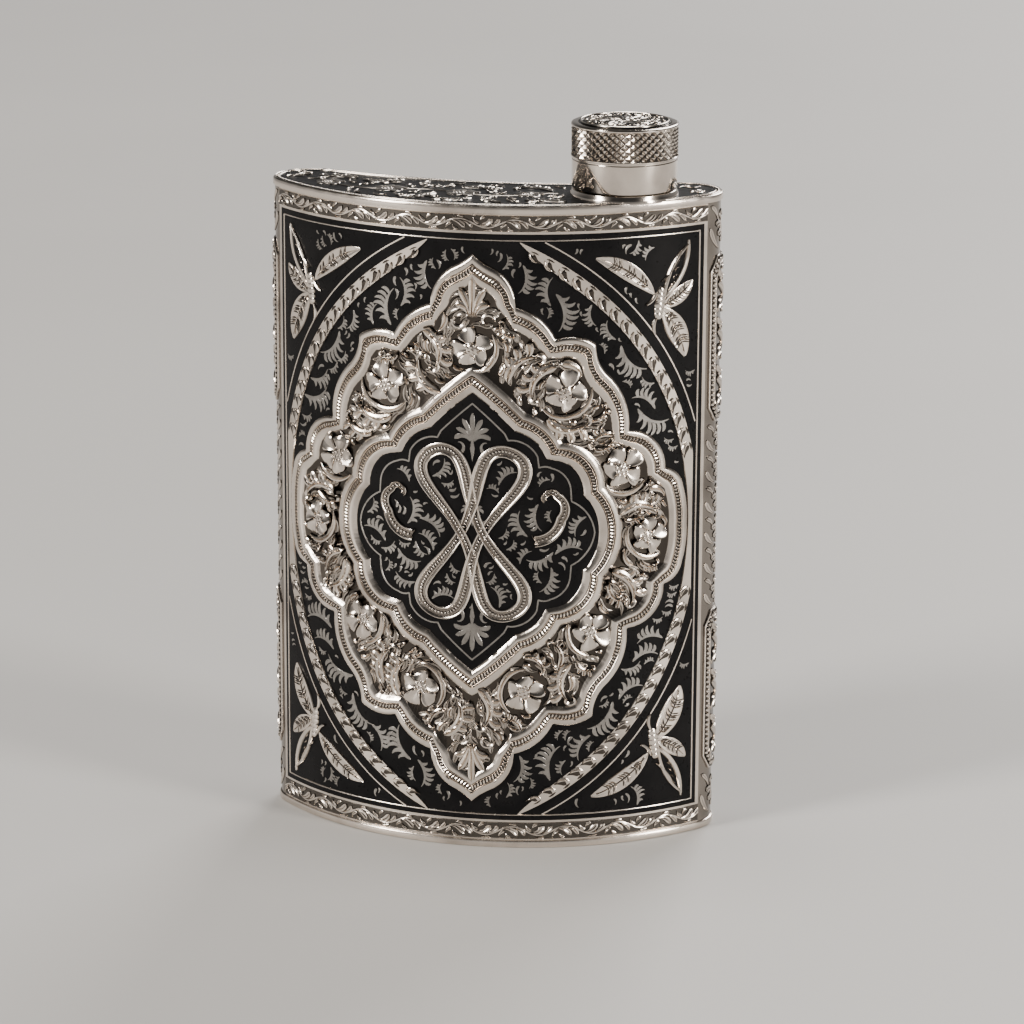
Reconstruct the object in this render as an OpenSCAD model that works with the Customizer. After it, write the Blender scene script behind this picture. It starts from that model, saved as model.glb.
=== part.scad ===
// Curved hip flask in silver and niello, with a screw cap on an off-centre neck.
// Origin at the middle of the underside, +Z up, the convex decorated face towards -Y.

/* [Body] */
// Width across the two rounded narrow sides
body_w = 92; // [86:1:100]
// Height from the underside to the top plate
body_h = 134; // [126:1:146]
// Thickness through the middle of the body
body_t = 25; // [23:0.5:28]
// Radius of the convex front
front_r = 59.3; // [56:0.1:64]
// Radius of the hollow back
back_r = 100; // [90:1:120]
// Sheet thickness of the walls
wall = 1.2; // [1:0.1:1.5]
// Thickness of the top and base plates
plate_t = 1.6; // [1.2:0.1:2]
// How far the plates stand out past the walls
plate_lip = 0.4; // [0:0.1:0.6]

/* [Neck] */
// Distance of the neck's axis from the middle of the body
neck_x = 27.3; // [20:0.1:30]
// Radius over the neck's thread
neck_r = 8.2; // [7.5:0.1:8.6]
// Radius of the pouring bore
bore_r = 6; // [5:0.1:6.4]
// Height of the neck's rim above the top plate
neck_h = 10.5; // [9:0.1:11]

/* [Cap] */
// Radius of the plain lower band of the cap
cap_r = 10.6; // [10.2:0.1:11]
// Height of the cap from its lower edge to the top of its disc
cap_h = 13.6; // [13:0.1:15]
// Height of the knurled band
knurl_h = 6.9; // [5:0.1:7.5]
// Radius of the engraved disc in the cap's top
disc_r = 9.25; // [8:0.05:9.5]
// Running clearance between the neck's thread and the cap's insert
thread_gap = 0.05; // [0.02:0.01:0.1]

/* [Ornament] */
// Height of the large medallion over the front
relief = 0.8; // [0.5:0.1:1.2]
// Height of the chased flowers over the medallion
flower_relief = 0.6; // [0.3:0.1:0.8]
// Depth of the recess that holds the niello
niello_t = 0.35; // [0.2:0.05:0.5]
// Height of the raised panels on the narrow sides
panel_relief = 0.9; // [0.6:0.1:1.2]

/* [Hidden] */
$fn = 96;
silver = [0.80, 0.77, 0.72];
black = [0.13, 0.13, 0.14];

// The rounded ends touch both the front circle and the back circle from inside the body.
half_w = body_w / 2;
front_in = front_r - body_t;
end_b = (front_r + back_r) / (front_in - back_r);
end_a = (front_in * front_in - front_r * front_r) / (2 * (front_in - back_r));
end_lin = -2 * half_w + 2 * end_a * end_b - 2 * back_r * end_b - 2 * back_r;
end_const = half_w * half_w + end_a * end_a - 2 * back_r * end_a;
end_r = (-end_lin + sqrt(end_lin * end_lin - 4 * end_b * end_b * end_const)) / (2 * end_b * end_b);
end_back_y = end_a + end_b * end_r;

// The whole depth, relief included, is centred on the origin.
front_depth = body_t + relief + flower_relief;
back_depth = end_back_y + end_r + panel_relief;
y_shift = (front_depth - back_depth) / 2;

front_c = [0, front_in + y_shift];
back_c = [0, back_r + y_shift];
end_c = [half_w - end_r, end_back_y + y_shift];
front_half = atan2(end_c[0], front_c[1] - end_c[1]);
back_half = atan2(end_c[0], back_c[1] - end_c[1]);
mid_z = body_h / 2;
wall_h = body_h - 2 * plate_t;

// The neck stands where front and back are equally far away.
function edge_gap(y) =
    (front_r - norm([neck_x, y - front_c[1]])) - (norm([neck_x, y - back_c[1]]) - back_r);
function balance(low, high, n) =
    let (m = (low + high) / 2)
    n == 0 ? m : edge_gap(m) < 0 ? balance(m, high, n - 1) : balance(low, m, n - 1);
neck_y = balance(y_shift - body_t, y_shift + end_r, 30);

flange_r = 10.9;
flange_h = 1.3;
cap_z = body_h + flange_h + 0.2;
cap_top = cap_z + cap_h;
disc_rise = 0.5;
rim_z = body_h + neck_h;
seal_t = 1.5;
insert_wall = 1.15;
insert_in = neck_r + thread_gap;
insert_out = insert_in + insert_wall;
knurl_r = cap_r + 0.2;
knurl_seat = cap_r - 0.7;
niello_half_u = 48.9;
niello_low = 5.9;
niello_high = 128.4;
deg = 180 / PI;

// ---- planar curves -------------------------------------------------------------------------

// Points of a circular arc from a to b whose middle stands out by sag on the left, b left out
function arc(a, b, sag, n = 6) =
    let (c = norm(b - a) / 2, e = (b - a) / (2 * c), m = (a + b) / 2,
         s = abs(sag) < 0.01 ? 0.01 : sag, half = 2 * atan(s / c), r = c / sin(half))
    [for (i = [0 : n - 1]) let (t = half * (2 * i / n - 1))
        m + e * r * sin(t) + [-e[1], e[0]] * r * (cos(t) - cos(half))];

// A chain of arcs through keys of the form [u, v, sag to the next key]
function chain(keys) = concat(
    [for (i = [0 : len(keys) - 2])
        each arc([keys[i][0], keys[i][1]], [keys[i + 1][0], keys[i + 1][1]], keys[i][2])],
    [[keys[len(keys) - 1][0], keys[len(keys) - 1][1]]]);

// The closed outline that a quadrant from the top tip to the right extreme makes
function four_way(q) = concat(
    q,
    [for (i = [len(q) - 2 : -1 : 0]) [q[i][0], -q[i][1]]],
    [for (i = [1 : len(q) - 1]) [-q[i][0], -q[i][1]]],
    [for (i = [len(q) - 2 : -1 : 1]) [-q[i][0], q[i][1]]]);

// A closed clockwise outline moved outwards by d
function grow(pts, d) =
    [for (i = [0 : len(pts) - 1])
        let (n = len(pts), a = pts[(i + n - 1) % n], b = pts[(i + 1) % n],
             e1 = (pts[i] - a) / norm(pts[i] - a), e2 = (b - pts[i]) / norm(b - pts[i]),
             n1 = [-e1[1], e1[0]], n2 = [-e2[1], e2[0]], m = n1 + n2)
        pts[i] + m * (d / max(0.8, 0.5 * (m * m)))];

// Lens-shaped leaf between two points
function leaf(a, b, w) = concat(arc(a, b, w / 2), arc(b, a, w / 2));

// The large lobed medallion, as a quadrant about its centre
medallion_keys = [[0, 57.4, -0.2], [3.6, 54.8, 1.5], [8.6, 46.8, 1.2], [16.6, 40.3, 1.0],
                  [24.8, 39, -0.6], [27, 33, 1.6], [31.9, 20.8, 2.5], [40.1, 12.3, 1.0],
                  [44.4, 8, 0.4], [45.4, 0, 0]];
medallion = four_way(chain(medallion_keys));

// The inner lobed medallion, along its rope
inner_keys = [[0, 31.7, 0.3], [9.6, 23.1, 0.95], [16.9, 17.5, 2.1], [23.4, 8.6, 1.3],
              [27, 4.4, 0.25], [27.9, 0, 0]];
inner_medallion = four_way(chain(inner_keys));

// The rope a little inside the large medallion's edge
rope_keys = [[0, 54.6, 0.9], [7.6, 45.2, 1.0], [15.2, 39.2, 0.6], [22.6, 38.7, -0.5], [25.2, 31.6, 1.2],
             [30, 19.6, 2.2], [38.4, 11, 1.2], [42.6, 7.2, 0.35], [43.4, 0, 0]];
rope_line = four_way(chain(rope_keys));

rope_w = 1.1;     // width of both ropes
bevel_w = 2.2;    // bright bevel between the inner rope and the dark centre

// ---- body -----------------------------------------------------------------------------------

// A curved slab about a vertical axis, from radius r1 to r2, over angles a1 to a2
module sector(c, r1, r2, a1, a2, z1, z2) {
    translate([c[0], c[1], 0]) rotate([0, 0, a1]) rotate_extrude(angle = a2 - a1)
        translate([r1, z1]) square([r2 - r1, z2 - z1]);
}

// The body's outline in plan, grown by d
function plan(d) = concat(
    [for (i = [0 : 40]) let (a = front_half * (i / 20 - 1))
        front_c + (front_r + d) * [sin(a), -cos(a)]],
    [for (i = [1 : 15]) let (a = front_half + (180 - front_half + back_half) * i / 16)
        end_c + (end_r + d) * [sin(a), -cos(a)]],
    [for (i = [0 : 24]) let (a = back_half * (1 - i / 12))
        back_c + (back_r - d) * [sin(a), -cos(a)]],
    [for (i = [1 : 15]) let (a = front_half + (180 - front_half + back_half) * (16 - i) / 16)
        [-end_c[0], end_c[1]] + (end_r + d) * [-sin(a), -cos(a)]]);

// Everything that lies on the front, from height low to high over it, over z1 to z2
module front_skin(low, high, half_u, z1, z2) {
    a = half_u / front_r * deg;
    sector(front_c, front_r + low, front_r + high, -90 - a, -90 + a, z1, z2);
}

// An unrolled outline wrapped on the front
module on_front(pts, low, high) {
    intersection() {
        front_skin(low, high, 49.5, 4, body_h - 4);
        front_prism(pts);
    }
}

module front_prism(pts) {
    translate([0, front_c[1] - 20, mid_z]) rotate([90, 0, 0]) linear_extrude(60)
        polygon([for (p = pts) [front_r * sin(p[0] / front_r * deg), p[1]]]);
}

module front_shell() {
    color(silver) difference() {
        sector(front_c, front_r - wall, front_r, -90 - front_half, -90 + front_half,
               plate_t, plate_t + wall_h);
        front_skin(-niello_t, 1, niello_half_u, niello_low, niello_high);
    }
}

module back_shell() {
    half_u = 36 / back_r * deg;
    color(silver) difference() {
        sector(back_c, back_r, back_r + wall, -90 - back_half, -90 + back_half,
               plate_t, plate_t + wall_h);
        sector(back_c, back_r - 1, back_r + niello_t, -90 - half_u, -90 + half_u,
               niello_low, niello_high);
    }
}

module side_wall() {
    color(silver)
        sector(end_c, end_r - wall, end_r, -90 + front_half, 90 + back_half, plate_t, plate_t + wall_h);
}

module side_wall_right() side_wall();
module side_wall_left() mirror([1, 0, 0]) side_wall();

module top_plate() {
    color(silver) difference() {
        translate([0, 0, body_h - plate_t]) linear_extrude(plate_t) polygon(plan(plate_lip));
        translate([neck_x, neck_y, body_h - plate_t - 1]) cylinder(h = plate_t + 2, r = neck_r);
    }
}

module base_plate() {
    color(silver) linear_extrude(plate_t) polygon(plan(plate_lip));
}

// ---- neck -----------------------------------------------------------------------------------

module neck_flange() {
    color(silver) translate([neck_x, neck_y, body_h]) rotate_extrude()
        polygon([[neck_r, 0], [flange_r, 0], [flange_r, 0.5], [cap_r, flange_h], [neck_r, flange_h]]);
}

// The thread is a plain envelope of its outside radius
module neck_tube() {
    below = 3;
    color(silver) translate([neck_x, neck_y, body_h - plate_t - below]) difference() {
        cylinder(h = plate_t + below + neck_h, r = neck_r);
        translate([0, 0, -1]) cylinder(h = plate_t + below + neck_h + 2, r = bore_r);
    }
}

// ---- front ornament -------------------------------------------------------------------------

module front_niello() {
    color(black) front_skin(-niello_t, 0, niello_half_u - 0.02, niello_low + 0.02, niello_high - 0.02);
}

// Raised flat wires that frame the niello
module frame_lines() {
    wire = 0.35;
    u = 47.95;
    low = 6.9 - mid_z;
    high = 127.3 - mid_z;
    color(silver) difference() {
        on_front([[-u, low], [-u, high], [u, high], [u, low]], 0, 0.12);
        front_prism([[-u + wire, low + wire], [-u + wire, high - wire],
                     [u - wire, high - wire], [u - wire, low + wire]]);
    }
}

// Two long bands whose arcs make a pointed oval around the medallion
module oval_band() {
    band_c = 17;
    band_r1 = 62.7;
    band_r2 = 65.4;
    top = 59.65;
    side = 46.9;
    function bow(r, n) = let (a = asin(top / r))
        [for (i = [0 : n]) let (t = a * (1 - 2 * i / n)) [min(side, r * cos(t) - band_c), r * sin(t)]];
    color(silver) for (m = [0, 1]) mirror([m, 0, 0]) difference() {
        on_front(concat(bow(band_r2, 24), [[0, -top], [0, top]]), 0, 0.3);
        front_prism(concat([[-1, top + 1]], bow(band_r1, 24), [[-1, -top - 1]]));
    }
}

// Leaves that fill the four corners of the niello
module corner_leaves() {
    leaves = [[[39.5, 51], [26, 57.3], 3.4], [[38, 46], [45, 57.5], 4.2],
              [[39.5, 52.5], [45.6, 45], 4.4], [[40, 46.5], [43.8, 35.8], 3.6]];
    color(silver) for (mu = [0, 1], mv = [0, 1]) translate([0, 0, mv * body_h])
        mirror([0, 0, mv]) mirror([mu, 0, 0]) for (l = leaves) on_front(leaf(l[0], l[1], l[2]), 0, 0.5);
}

module medallion_plate() {
    color(silver) difference() {
        on_front(medallion, 0, relief);
        front_prism(grow(inner_medallion, -bevel_w));
    }
}

module rope(pts, low, high) {
    difference() {
        on_front(grow(pts, rope_w / 2), low, high);
        front_prism(grow(pts, -rope_w / 2));
    }
}

module medallion_rope_outer() {
    color(silver) rope(rope_line, relief, relief + 0.35);
}

module medallion_rope_inner() {
    color(silver) rope(inner_medallion, relief, relief + 0.35);
}

// Blossoms in a ring between the two ropes, as round bosses
module medallion_flowers() {
    spots = [[0, 38, 4.2], [18.4, 29.4, 4.5], [30.3, 13, 4.5], [36, -1.5, 3.9], [24, -20.8, 4.2],
             [10.6, -33.4, 4.2]];
    function disc(s, mu) =
        [for (i = [0 : 15]) [s[0] * mu + s[2] * sin(i * 22.5), s[1] + s[2] * cos(i * 22.5)]];
    color(silver) for (s = spots, mu = s[0] == 0 ? [1] : [1, -1])
        on_front(disc(s, mu), relief, relief + flower_relief);
}

module centre_niello() {
    color(black) on_front(grow(inner_medallion, -bevel_w - 0.02), 0, 0.3);
}

// One long ribbon loop with a drawn-in waist, leaning to the right
module knot_loop(low, high) {
    ribbon_w = 2.2;
    long_r = 18.6;
    waist = 0.8;
    width = 10;
    tilt = 26;
    loop = [for (i = [0 : 47]) let (t = i * 7.5, s = sin(t), x = width * s * (1 - waist * s * s),
                                    y = long_r * cos(t))
        [x * cos(tilt) + y * sin(tilt), y * cos(tilt) - x * sin(tilt)]];
    color(silver) difference() {
        on_front(grow(loop, ribbon_w / 2), low, high);
        front_prism(grow(loop, -ribbon_w / 2));
    }
}

// The two loops cross, so each takes one half of the knot's height
knot_low = 0.3;
knot_high = relief + 0.2;
module knot_ribbon_lower() mirror([1, 0, 0]) knot_loop(knot_low, (knot_low + knot_high) / 2);
module knot_ribbon_upper() knot_loop((knot_low + knot_high) / 2, knot_high);

// A small curled ribbon beside the knot on each side
module side_scrolls() {
    curl = concat(arc([13.2, -2.4], [17.6, 8.4], -4.6), arc([17.6, 8.4], [15.2, 8.6], 0.6),
                  arc([15.2, 8.6], [12.3, 0.4], 3.2));
    color(silver) for (m = [0, 1]) mirror([m, 0, 0]) on_front(curl, 0.3, relief);
}

// Leafy sprays above, between and below the loops of the knot
module palmettes() {
    color(silver) for (c = [20.2, -25.2], k = [-1, 0, 1])
        on_front(leaf([k * 1.2, c], [k * 3.4, c + 5.4 - abs(k) * 1.6], 1.3), 0.3, 0.4);
}

// ---- narrow sides and back ------------------------------------------------------------------

module side_panel(z) {
    half_l = 17.2;
    half_a = 70;
    mid_a = (front_half + back_half) / 2;
    wide = end_r + panel_relief;
    color(silver) intersection() {
        sector(end_c, end_r, end_r + panel_relief, mid_a - half_a, mid_a + half_a,
               z - half_l, z + half_l);
        translate([end_c[0], end_c[1], z]) rotate([0, 0, mid_a]) rotate([0, 90, 0])
            linear_extrude(20) polygon([for (k = [0 : 7]) let (u = half_l - (k % 4 == 1 || k % 4 == 2 ? 2 : 0),
                                                               v = wide - (k % 4 == 0 || k % 4 == 3 ? 3 : 0))
                [k < 2 || k > 5 ? u : -u, k < 4 ? v : -v]]);
    }
}

panel_offset = 37.2;
module side_panel_right_upper() side_panel(mid_z + panel_offset);
module side_panel_right_lower() side_panel(mid_z - panel_offset);
module side_panel_left_upper() mirror([1, 0, 0]) side_panel(mid_z + panel_offset);
module side_panel_left_lower() mirror([1, 0, 0]) side_panel(mid_z - panel_offset);

module back_niello() {
    half_u = 35.98 / back_r * deg;
    color(black) sector(back_c, back_r, back_r + niello_t, -90 - half_u, -90 + half_u,
                        niello_low + 0.02, niello_high - 0.02);
}

// A lobed plate on the hollow back
module back_medallion() {
    fit = 0.62;
    color(silver) intersection() {
        sector(back_c, back_r - 0.6, back_r, -120, -60, 4, body_h - 4);
        translate([0, back_c[1] - back_r + 20, mid_z]) rotate([90, 0, 0]) linear_extrude(40)
            polygon([for (p = medallion) [p[0] * fit, p[1] * fit]]);
    }
}

// ---- cap ------------------------------------------------------------------------------------

module cap_shell() {
    ceiling = rim_z + seal_t;
    shoulder = cap_top - disc_rise;
    floor_z = ceiling + 1.2;
    color(silver) translate([neck_x, neck_y, 0]) rotate_extrude()
        polygon([[0, ceiling], [insert_out, ceiling], [insert_out, cap_z], [cap_r, cap_z],
                 [cap_r, shoulder - knurl_h], [knurl_seat, shoulder - knurl_h], [knurl_seat, shoulder],
                 [disc_r, shoulder], [disc_r, floor_z], [0, floor_z]]);
}

module cap_knurl_ring() {
    top = cap_top - disc_rise;
    chamfer = 0.3;
    color(silver) translate([neck_x, neck_y, 0]) rotate_extrude()
        polygon([[knurl_seat, top - knurl_h], [knurl_r, top - knurl_h], [knurl_r, top - chamfer],
                 [knurl_r - chamfer, top], [knurl_seat, top]]);
}

module cap_top_disc() {
    floor_z = rim_z + seal_t + 1.2;
    chamfer = 0.4;
    color(silver) translate([neck_x, neck_y, 0]) rotate_extrude()
        polygon([[0, floor_z], [disc_r, floor_z], [disc_r, cap_top - chamfer],
                 [disc_r - chamfer, cap_top], [0, cap_top]]);
}

// The thread is a plain envelope of its inside radius
module cap_insert() {
    color("goldenrod") translate([neck_x, neck_y, cap_z + 0.6]) difference() {
        cylinder(h = rim_z - cap_z - 0.7, r = insert_out);
        translate([0, 0, -1]) cylinder(h = rim_z - cap_z + 2, r = insert_in);
    }
}

module cap_seal() {
    color("dimgray") translate([neck_x, neck_y, rim_z]) cylinder(h = seal_t, r = insert_out - 0.3);
}

front_shell();
back_shell();
side_wall_right();
side_wall_left();
top_plate();
base_plate();
neck_flange();
neck_tube();
front_niello();
frame_lines();
oval_band();
corner_leaves();
medallion_plate();
medallion_rope_outer();
medallion_flowers();
medallion_rope_inner();
centre_niello();
knot_ribbon_lower();
knot_ribbon_upper();
side_scrolls();
palmettes();
side_panel_right_upper();
side_panel_right_lower();
side_panel_left_upper();
side_panel_left_lower();
back_niello();
back_medallion();
cap_shell();
cap_knurl_ring();
cap_top_disc();
cap_insert();
cap_seal();
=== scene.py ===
import math

import bpy
import numpy as np
from mathutils import Matrix, Vector
from mathutils.geometry import tessellate_polygon


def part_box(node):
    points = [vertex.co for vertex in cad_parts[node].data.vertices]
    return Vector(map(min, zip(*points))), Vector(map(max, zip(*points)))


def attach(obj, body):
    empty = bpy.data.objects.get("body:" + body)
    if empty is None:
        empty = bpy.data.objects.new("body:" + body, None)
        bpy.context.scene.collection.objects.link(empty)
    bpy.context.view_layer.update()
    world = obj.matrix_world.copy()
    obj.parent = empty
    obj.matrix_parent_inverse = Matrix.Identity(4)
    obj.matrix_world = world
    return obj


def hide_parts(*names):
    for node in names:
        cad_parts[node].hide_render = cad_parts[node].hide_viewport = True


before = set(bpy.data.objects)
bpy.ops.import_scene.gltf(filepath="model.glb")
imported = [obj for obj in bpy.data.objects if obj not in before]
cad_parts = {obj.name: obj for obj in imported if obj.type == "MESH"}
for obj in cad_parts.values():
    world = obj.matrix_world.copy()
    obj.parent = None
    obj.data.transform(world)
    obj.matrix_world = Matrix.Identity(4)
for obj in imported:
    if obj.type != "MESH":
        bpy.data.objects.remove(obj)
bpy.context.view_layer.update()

RNG = np.random.default_rng(11)
TAU = 2 * math.pi
MM = 0.001

# ---- sizes, in millimetres, read from the CAD boxes ----


def box_mm(node):
    """Lowest and highest corner of a CAD node in millimetres."""
    low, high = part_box(node)
    return np.array(low) * 1000, np.array(high) * 1000


def half_width(node):
    """Half the width of a CAD node, which is the radius of a turned one."""
    low, high = box_mm(node)
    return (high[0] - low[0]) / 2


def half_arc(node, radius):
    """Half the width of a node that wraps a cylinder, measured along the curve."""
    return math.asin(box_mm(node)[1][0] / radius) * radius


# Radii of the front's and the back's curves, and the thickness of the sheet.
FRONT_R = 59.3
BACK_R = 100.0
WALL = 1.2
# Half the body's width, its height, an end plate's thickness, mid height, and how far the plates stand out.
HALF_W = box_mm("side_wall_right")[1][0]
TOP = box_mm("top_plate")[1][2]
PLATE = box_mm("base_plate")[1][2]
MID = TOP / 2
LIP = box_mm("base_plate")[1][0] - HALF_W
# Depths of the axes that the front and the back curve about.
FRONT_Y = box_mm("front_shell")[0][1] + FRONT_R
BACK_Y = box_mm("back_shell")[0][1] + BACK_R + WALL
# Neck and cap; CLEAR keeps the cap's visual shell off the CAD's insert and seal.
CLEAR = 0.02
NECK_LOW, NECK_HIGH = box_mm("neck_tube")
NECK_X, NECK_Y = (NECK_LOW[:2] + NECK_HIGH[:2]) / 2
NECK_OUT = half_width("neck_tube")
FLANGE_R = half_width("neck_flange")
CAP_R = half_width("cap_shell")
CAP_Z = box_mm("cap_shell")[0][2]
KNURL_R = half_width("cap_knurl_ring")
KNURL_Z = [corner[2] for corner in box_mm("cap_knurl_ring")]
DISC_R = half_width("cap_top_disc")
DISC_TOP = box_mm("cap_top_disc")[1][2]
INSERT_R = half_width("cap_insert") + CLEAR
SEAL_TOP = box_mm("cap_seal")[1][2] + CLEAR


def end_circle():
    """Centre and radius of the rounded narrow side, tangent to the front and the back circles."""
    gap = FRONT_Y - BACK_Y
    b = (FRONT_R + BACK_R) / gap
    back = BACK_Y - BACK_R
    reach = FRONT_Y - back
    a = (reach ** 2 - FRONT_R ** 2) / (2 * gap)
    lin = -2 * HALF_W + 2 * a * b - 2 * BACK_R * b - 2 * BACK_R
    const = HALF_W ** 2 + a * a - 2 * BACK_R * a
    r = (-lin + math.sqrt(lin * lin - 4 * b * b * const)) / (2 * b * b)
    return HALF_W - r, a + b * r + back, r


# The rounded narrow sides, and the angles and lengths at which they meet the front and the back.
END_X, END_Y, END_R = end_circle()
FRONT_A = math.atan2(END_X, FRONT_Y - END_Y)
BACK_A = math.atan2(END_X, BACK_Y - END_Y)
SIDE_A = (FRONT_A + BACK_A) / 2
SIDE_LOW = (-math.pi / 2 + FRONT_A - SIDE_A) * END_R
SIDE_HIGH = (math.pi / 2 + BACK_A - SIDE_A) * END_R
# Half widths (u, along the curve) and height ranges (v) of the faces, the niello and the frame wires.
FRONT_U = FRONT_A * FRONT_R
BACK_U = BACK_A * BACK_R
NICHE_U = half_arc("front_niello", FRONT_R)
NICHE_V = [corner[2] for corner in box_mm("front_niello")]
BACK_NICHE_U = half_arc("back_niello", BACK_R)
WIRE = 0.32
FRAME_IN = 0.17
FRAME_U = half_arc("frame_lines", FRONT_R) - FRAME_IN
FRAME_V = (box_mm("frame_lines")[0][2] + FRAME_IN, box_mm("frame_lines")[1][2] - FRAME_IN)
# The side panels: half width, half length, and their middles' distance from mid height.
PANEL_W = math.radians(70) * END_R
PANEL_LOW, PANEL_HIGH = [corner[2] for corner in box_mm("side_panel_right_upper")]
PANEL_L = (PANEL_HIGH - PANEL_LOW) / 2
PANEL_Z = (PANEL_HIGH + PANEL_LOW) / 2 - MID
# Height ranges of the engraved bands, the lower and the upper.
BANDS = ((PLATE + 0.35, NICHE_V[0] - 0.55), (NICHE_V[1] + 0.55, TOP - PLATE - 0.3))

# ---- surfaces: each maps (u, v, height) to a point, in millimetres ----


def on_front(p):
    """The convex front, from its outer face outwards."""
    a = p[..., 0] / FRONT_R
    r = FRONT_R + p[..., 2]
    return np.stack([r * np.sin(a), FRONT_Y - r * np.cos(a), p[..., 1]], -1)


def on_back(p):
    """The hollow back; u runs to the left, as it is seen from behind."""
    a = p[..., 0] / BACK_R
    r = BACK_R - p[..., 2]
    return np.stack([-r * np.sin(a), BACK_Y - r * np.cos(a), p[..., 1]], -1)


def on_right(p):
    """The rounded narrow side to the right."""
    a = SIDE_A + p[..., 0] / END_R
    r = END_R + p[..., 2]
    return np.stack([END_X + r * np.cos(a), END_Y + r * np.sin(a), p[..., 1]], -1)


def on_left(p):
    """The left narrow side, the right one's mirror image."""
    q = on_right(p * np.array([-1, 1, 1]))
    return q * np.array([-1, 1, 1])


def on_top(p):
    """The top plate's upper face."""
    return p + np.array([0, 0, TOP])


SIDES = (("right", on_right, 1), ("left", on_left, -1))


def around_neck(z):
    """Plan-view ornament at a height, centred on the neck's axis."""
    def place(p):
        return p + np.array([NECK_X, NECK_Y, z])
    return place


def in_space(p):
    """Points that are already in the part's own frame."""
    return p


def scaled(place, k):
    """A surface on which the front's ornament is drawn k times smaller about the middle."""
    def shrink(p):
        q = p * [k, k, k]
        q[..., 1] += MID * (1 - k)
        return place(q)
    return shrink


def front_edge(x):
    """Front line of the body in plan, at x."""
    x = np.abs(x)
    arc = FRONT_Y - np.sqrt(np.maximum(FRONT_R ** 2 - x * x, 0))
    end = END_Y - np.sqrt(np.maximum(END_R ** 2 - (x - END_X) ** 2, 0))
    return np.where(x < END_X + END_R * math.sin(FRONT_A), arc, end)


def back_edge(x):
    """Back line of the body in plan, at x."""
    x = np.abs(x)
    arc = BACK_Y - np.sqrt(BACK_R ** 2 - x * x)
    end = END_Y + np.sqrt(np.maximum(END_R ** 2 - (x - END_X) ** 2, 0))
    return np.where(x < END_X - END_R * math.sin(BACK_A), arc, end)


def plan(d):
    """Outline of the body in plan, grown by d, anticlockwise."""
    def swing(cx, cy, r, a0, a1, n):
        a = np.linspace(a0, a1, n)
        return np.stack([cx + r * np.sin(a), cy - r * np.cos(a)], -1)
    front = swing(0, FRONT_Y, FRONT_R + d, -FRONT_A, FRONT_A, 120)
    right = swing(END_X, END_Y, END_R + d, FRONT_A, math.pi + BACK_A, 50)[1:-1]
    back = swing(0, BACK_Y, BACK_R - d, BACK_A, -BACK_A, 80)
    left = right[::-1] * np.array([-1, 1])
    return np.concatenate([front, right, back, left])


# ---- planar curves ----


def heading(a):
    """The direction at an angle."""
    return np.array([math.cos(a), math.sin(a)])


def left_of(e):
    """Directions turned a quarter to the left."""
    return np.stack([-e[..., 1], e[..., 0]], -1)


def headings(path, closed=False):
    """The unit direction at each point of a path."""
    step = np.roll(path, -1, 0) - np.roll(path, 1, 0) if closed else np.gradient(path, axis=0)
    return step / np.maximum(np.linalg.norm(step, axis=1, keepdims=True), 1e-9)


def arc(a, b, sag, n=8):
    """Points from a to b, both kept, on an arc that stands out by sag on the left."""
    a, b = np.asarray(a, float), np.asarray(b, float)
    c = np.linalg.norm(b - a) / 2
    e = (b - a) / (2 * c)
    half = 2 * math.atan((sag if abs(sag) > 0.005 else 0.005) / c)
    r = c / math.sin(half)
    t = half * np.linspace(-1, 1, n)[:, None]
    return (a + b) / 2 + e * r * np.sin(t) + left_of(e) * r * (np.cos(t) - math.cos(half))


def chain(keys, n=10):
    """Arcs through keys of the form (u, v, sag to the next key)."""
    parts = [arc(k[:2], m[:2], k[2], n)[:-1] for k, m in zip(keys, keys[1:])]
    return np.concatenate(parts + [np.array([keys[-1][:2]])])


def four_way(q):
    """The closed outline that a quadrant from the top tip to the right extreme makes."""
    return np.concatenate([q, q[-2::-1] * [1, -1], q[1:] * [-1, -1], q[-2:0:-1] * [-1, 1]])


def resample(path, step, closed=False):
    """Evenly spaced points along a path."""
    if closed:
        path = np.concatenate([path, path[:1]])
    s = np.concatenate([[0], np.cumsum(np.linalg.norm(np.diff(path, axis=0), axis=1))])
    n = max(2, int(round(s[-1] / step)))
    t = np.linspace(0, s[-1], n, endpoint=False) if closed else np.linspace(0, s[-1], n + 1)
    return np.stack([np.interp(t, s, path[:, 0]), np.interp(t, s, path[:, 1])], -1)


def spiral(at, r0, r1, a0, sweep, n=14):
    """A curl about a point, from radius r0 to r1, turning by sweep."""
    t = np.linspace(0, 1, n)
    r = r0 + (r1 - r0) * t
    a = a0 + sweep * t
    return np.stack([at[0] + r * np.cos(a), at[1] + r * np.sin(a)], -1)


PHI = np.linspace(0, TAU, 1200, endpoint=False)
RAYS = np.stack([np.sin(PHI), np.cos(PHI)], -1)


def polar(outline):
    """Distance of a star-shaped outline from the origin along each ray."""
    a = outline
    e = np.roll(outline, -1, 0) - a
    d = RAYS[:, None]
    cross = d[..., 0] * e[:, 1] - d[..., 1] * e[:, 0]
    cross = np.where(np.abs(cross) < 1e-9, 1e-9, cross)
    along = (a[:, 0] * e[:, 1] - a[:, 1] * e[:, 0]) / cross
    part = (a[:, 0] * d[..., 1] - a[:, 1] * d[..., 0]) / cross
    hit = (along > 0) & (part > -1e-6) & (part < 1 + 1e-6)
    return np.where(hit, along, 0).max(1)


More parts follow.
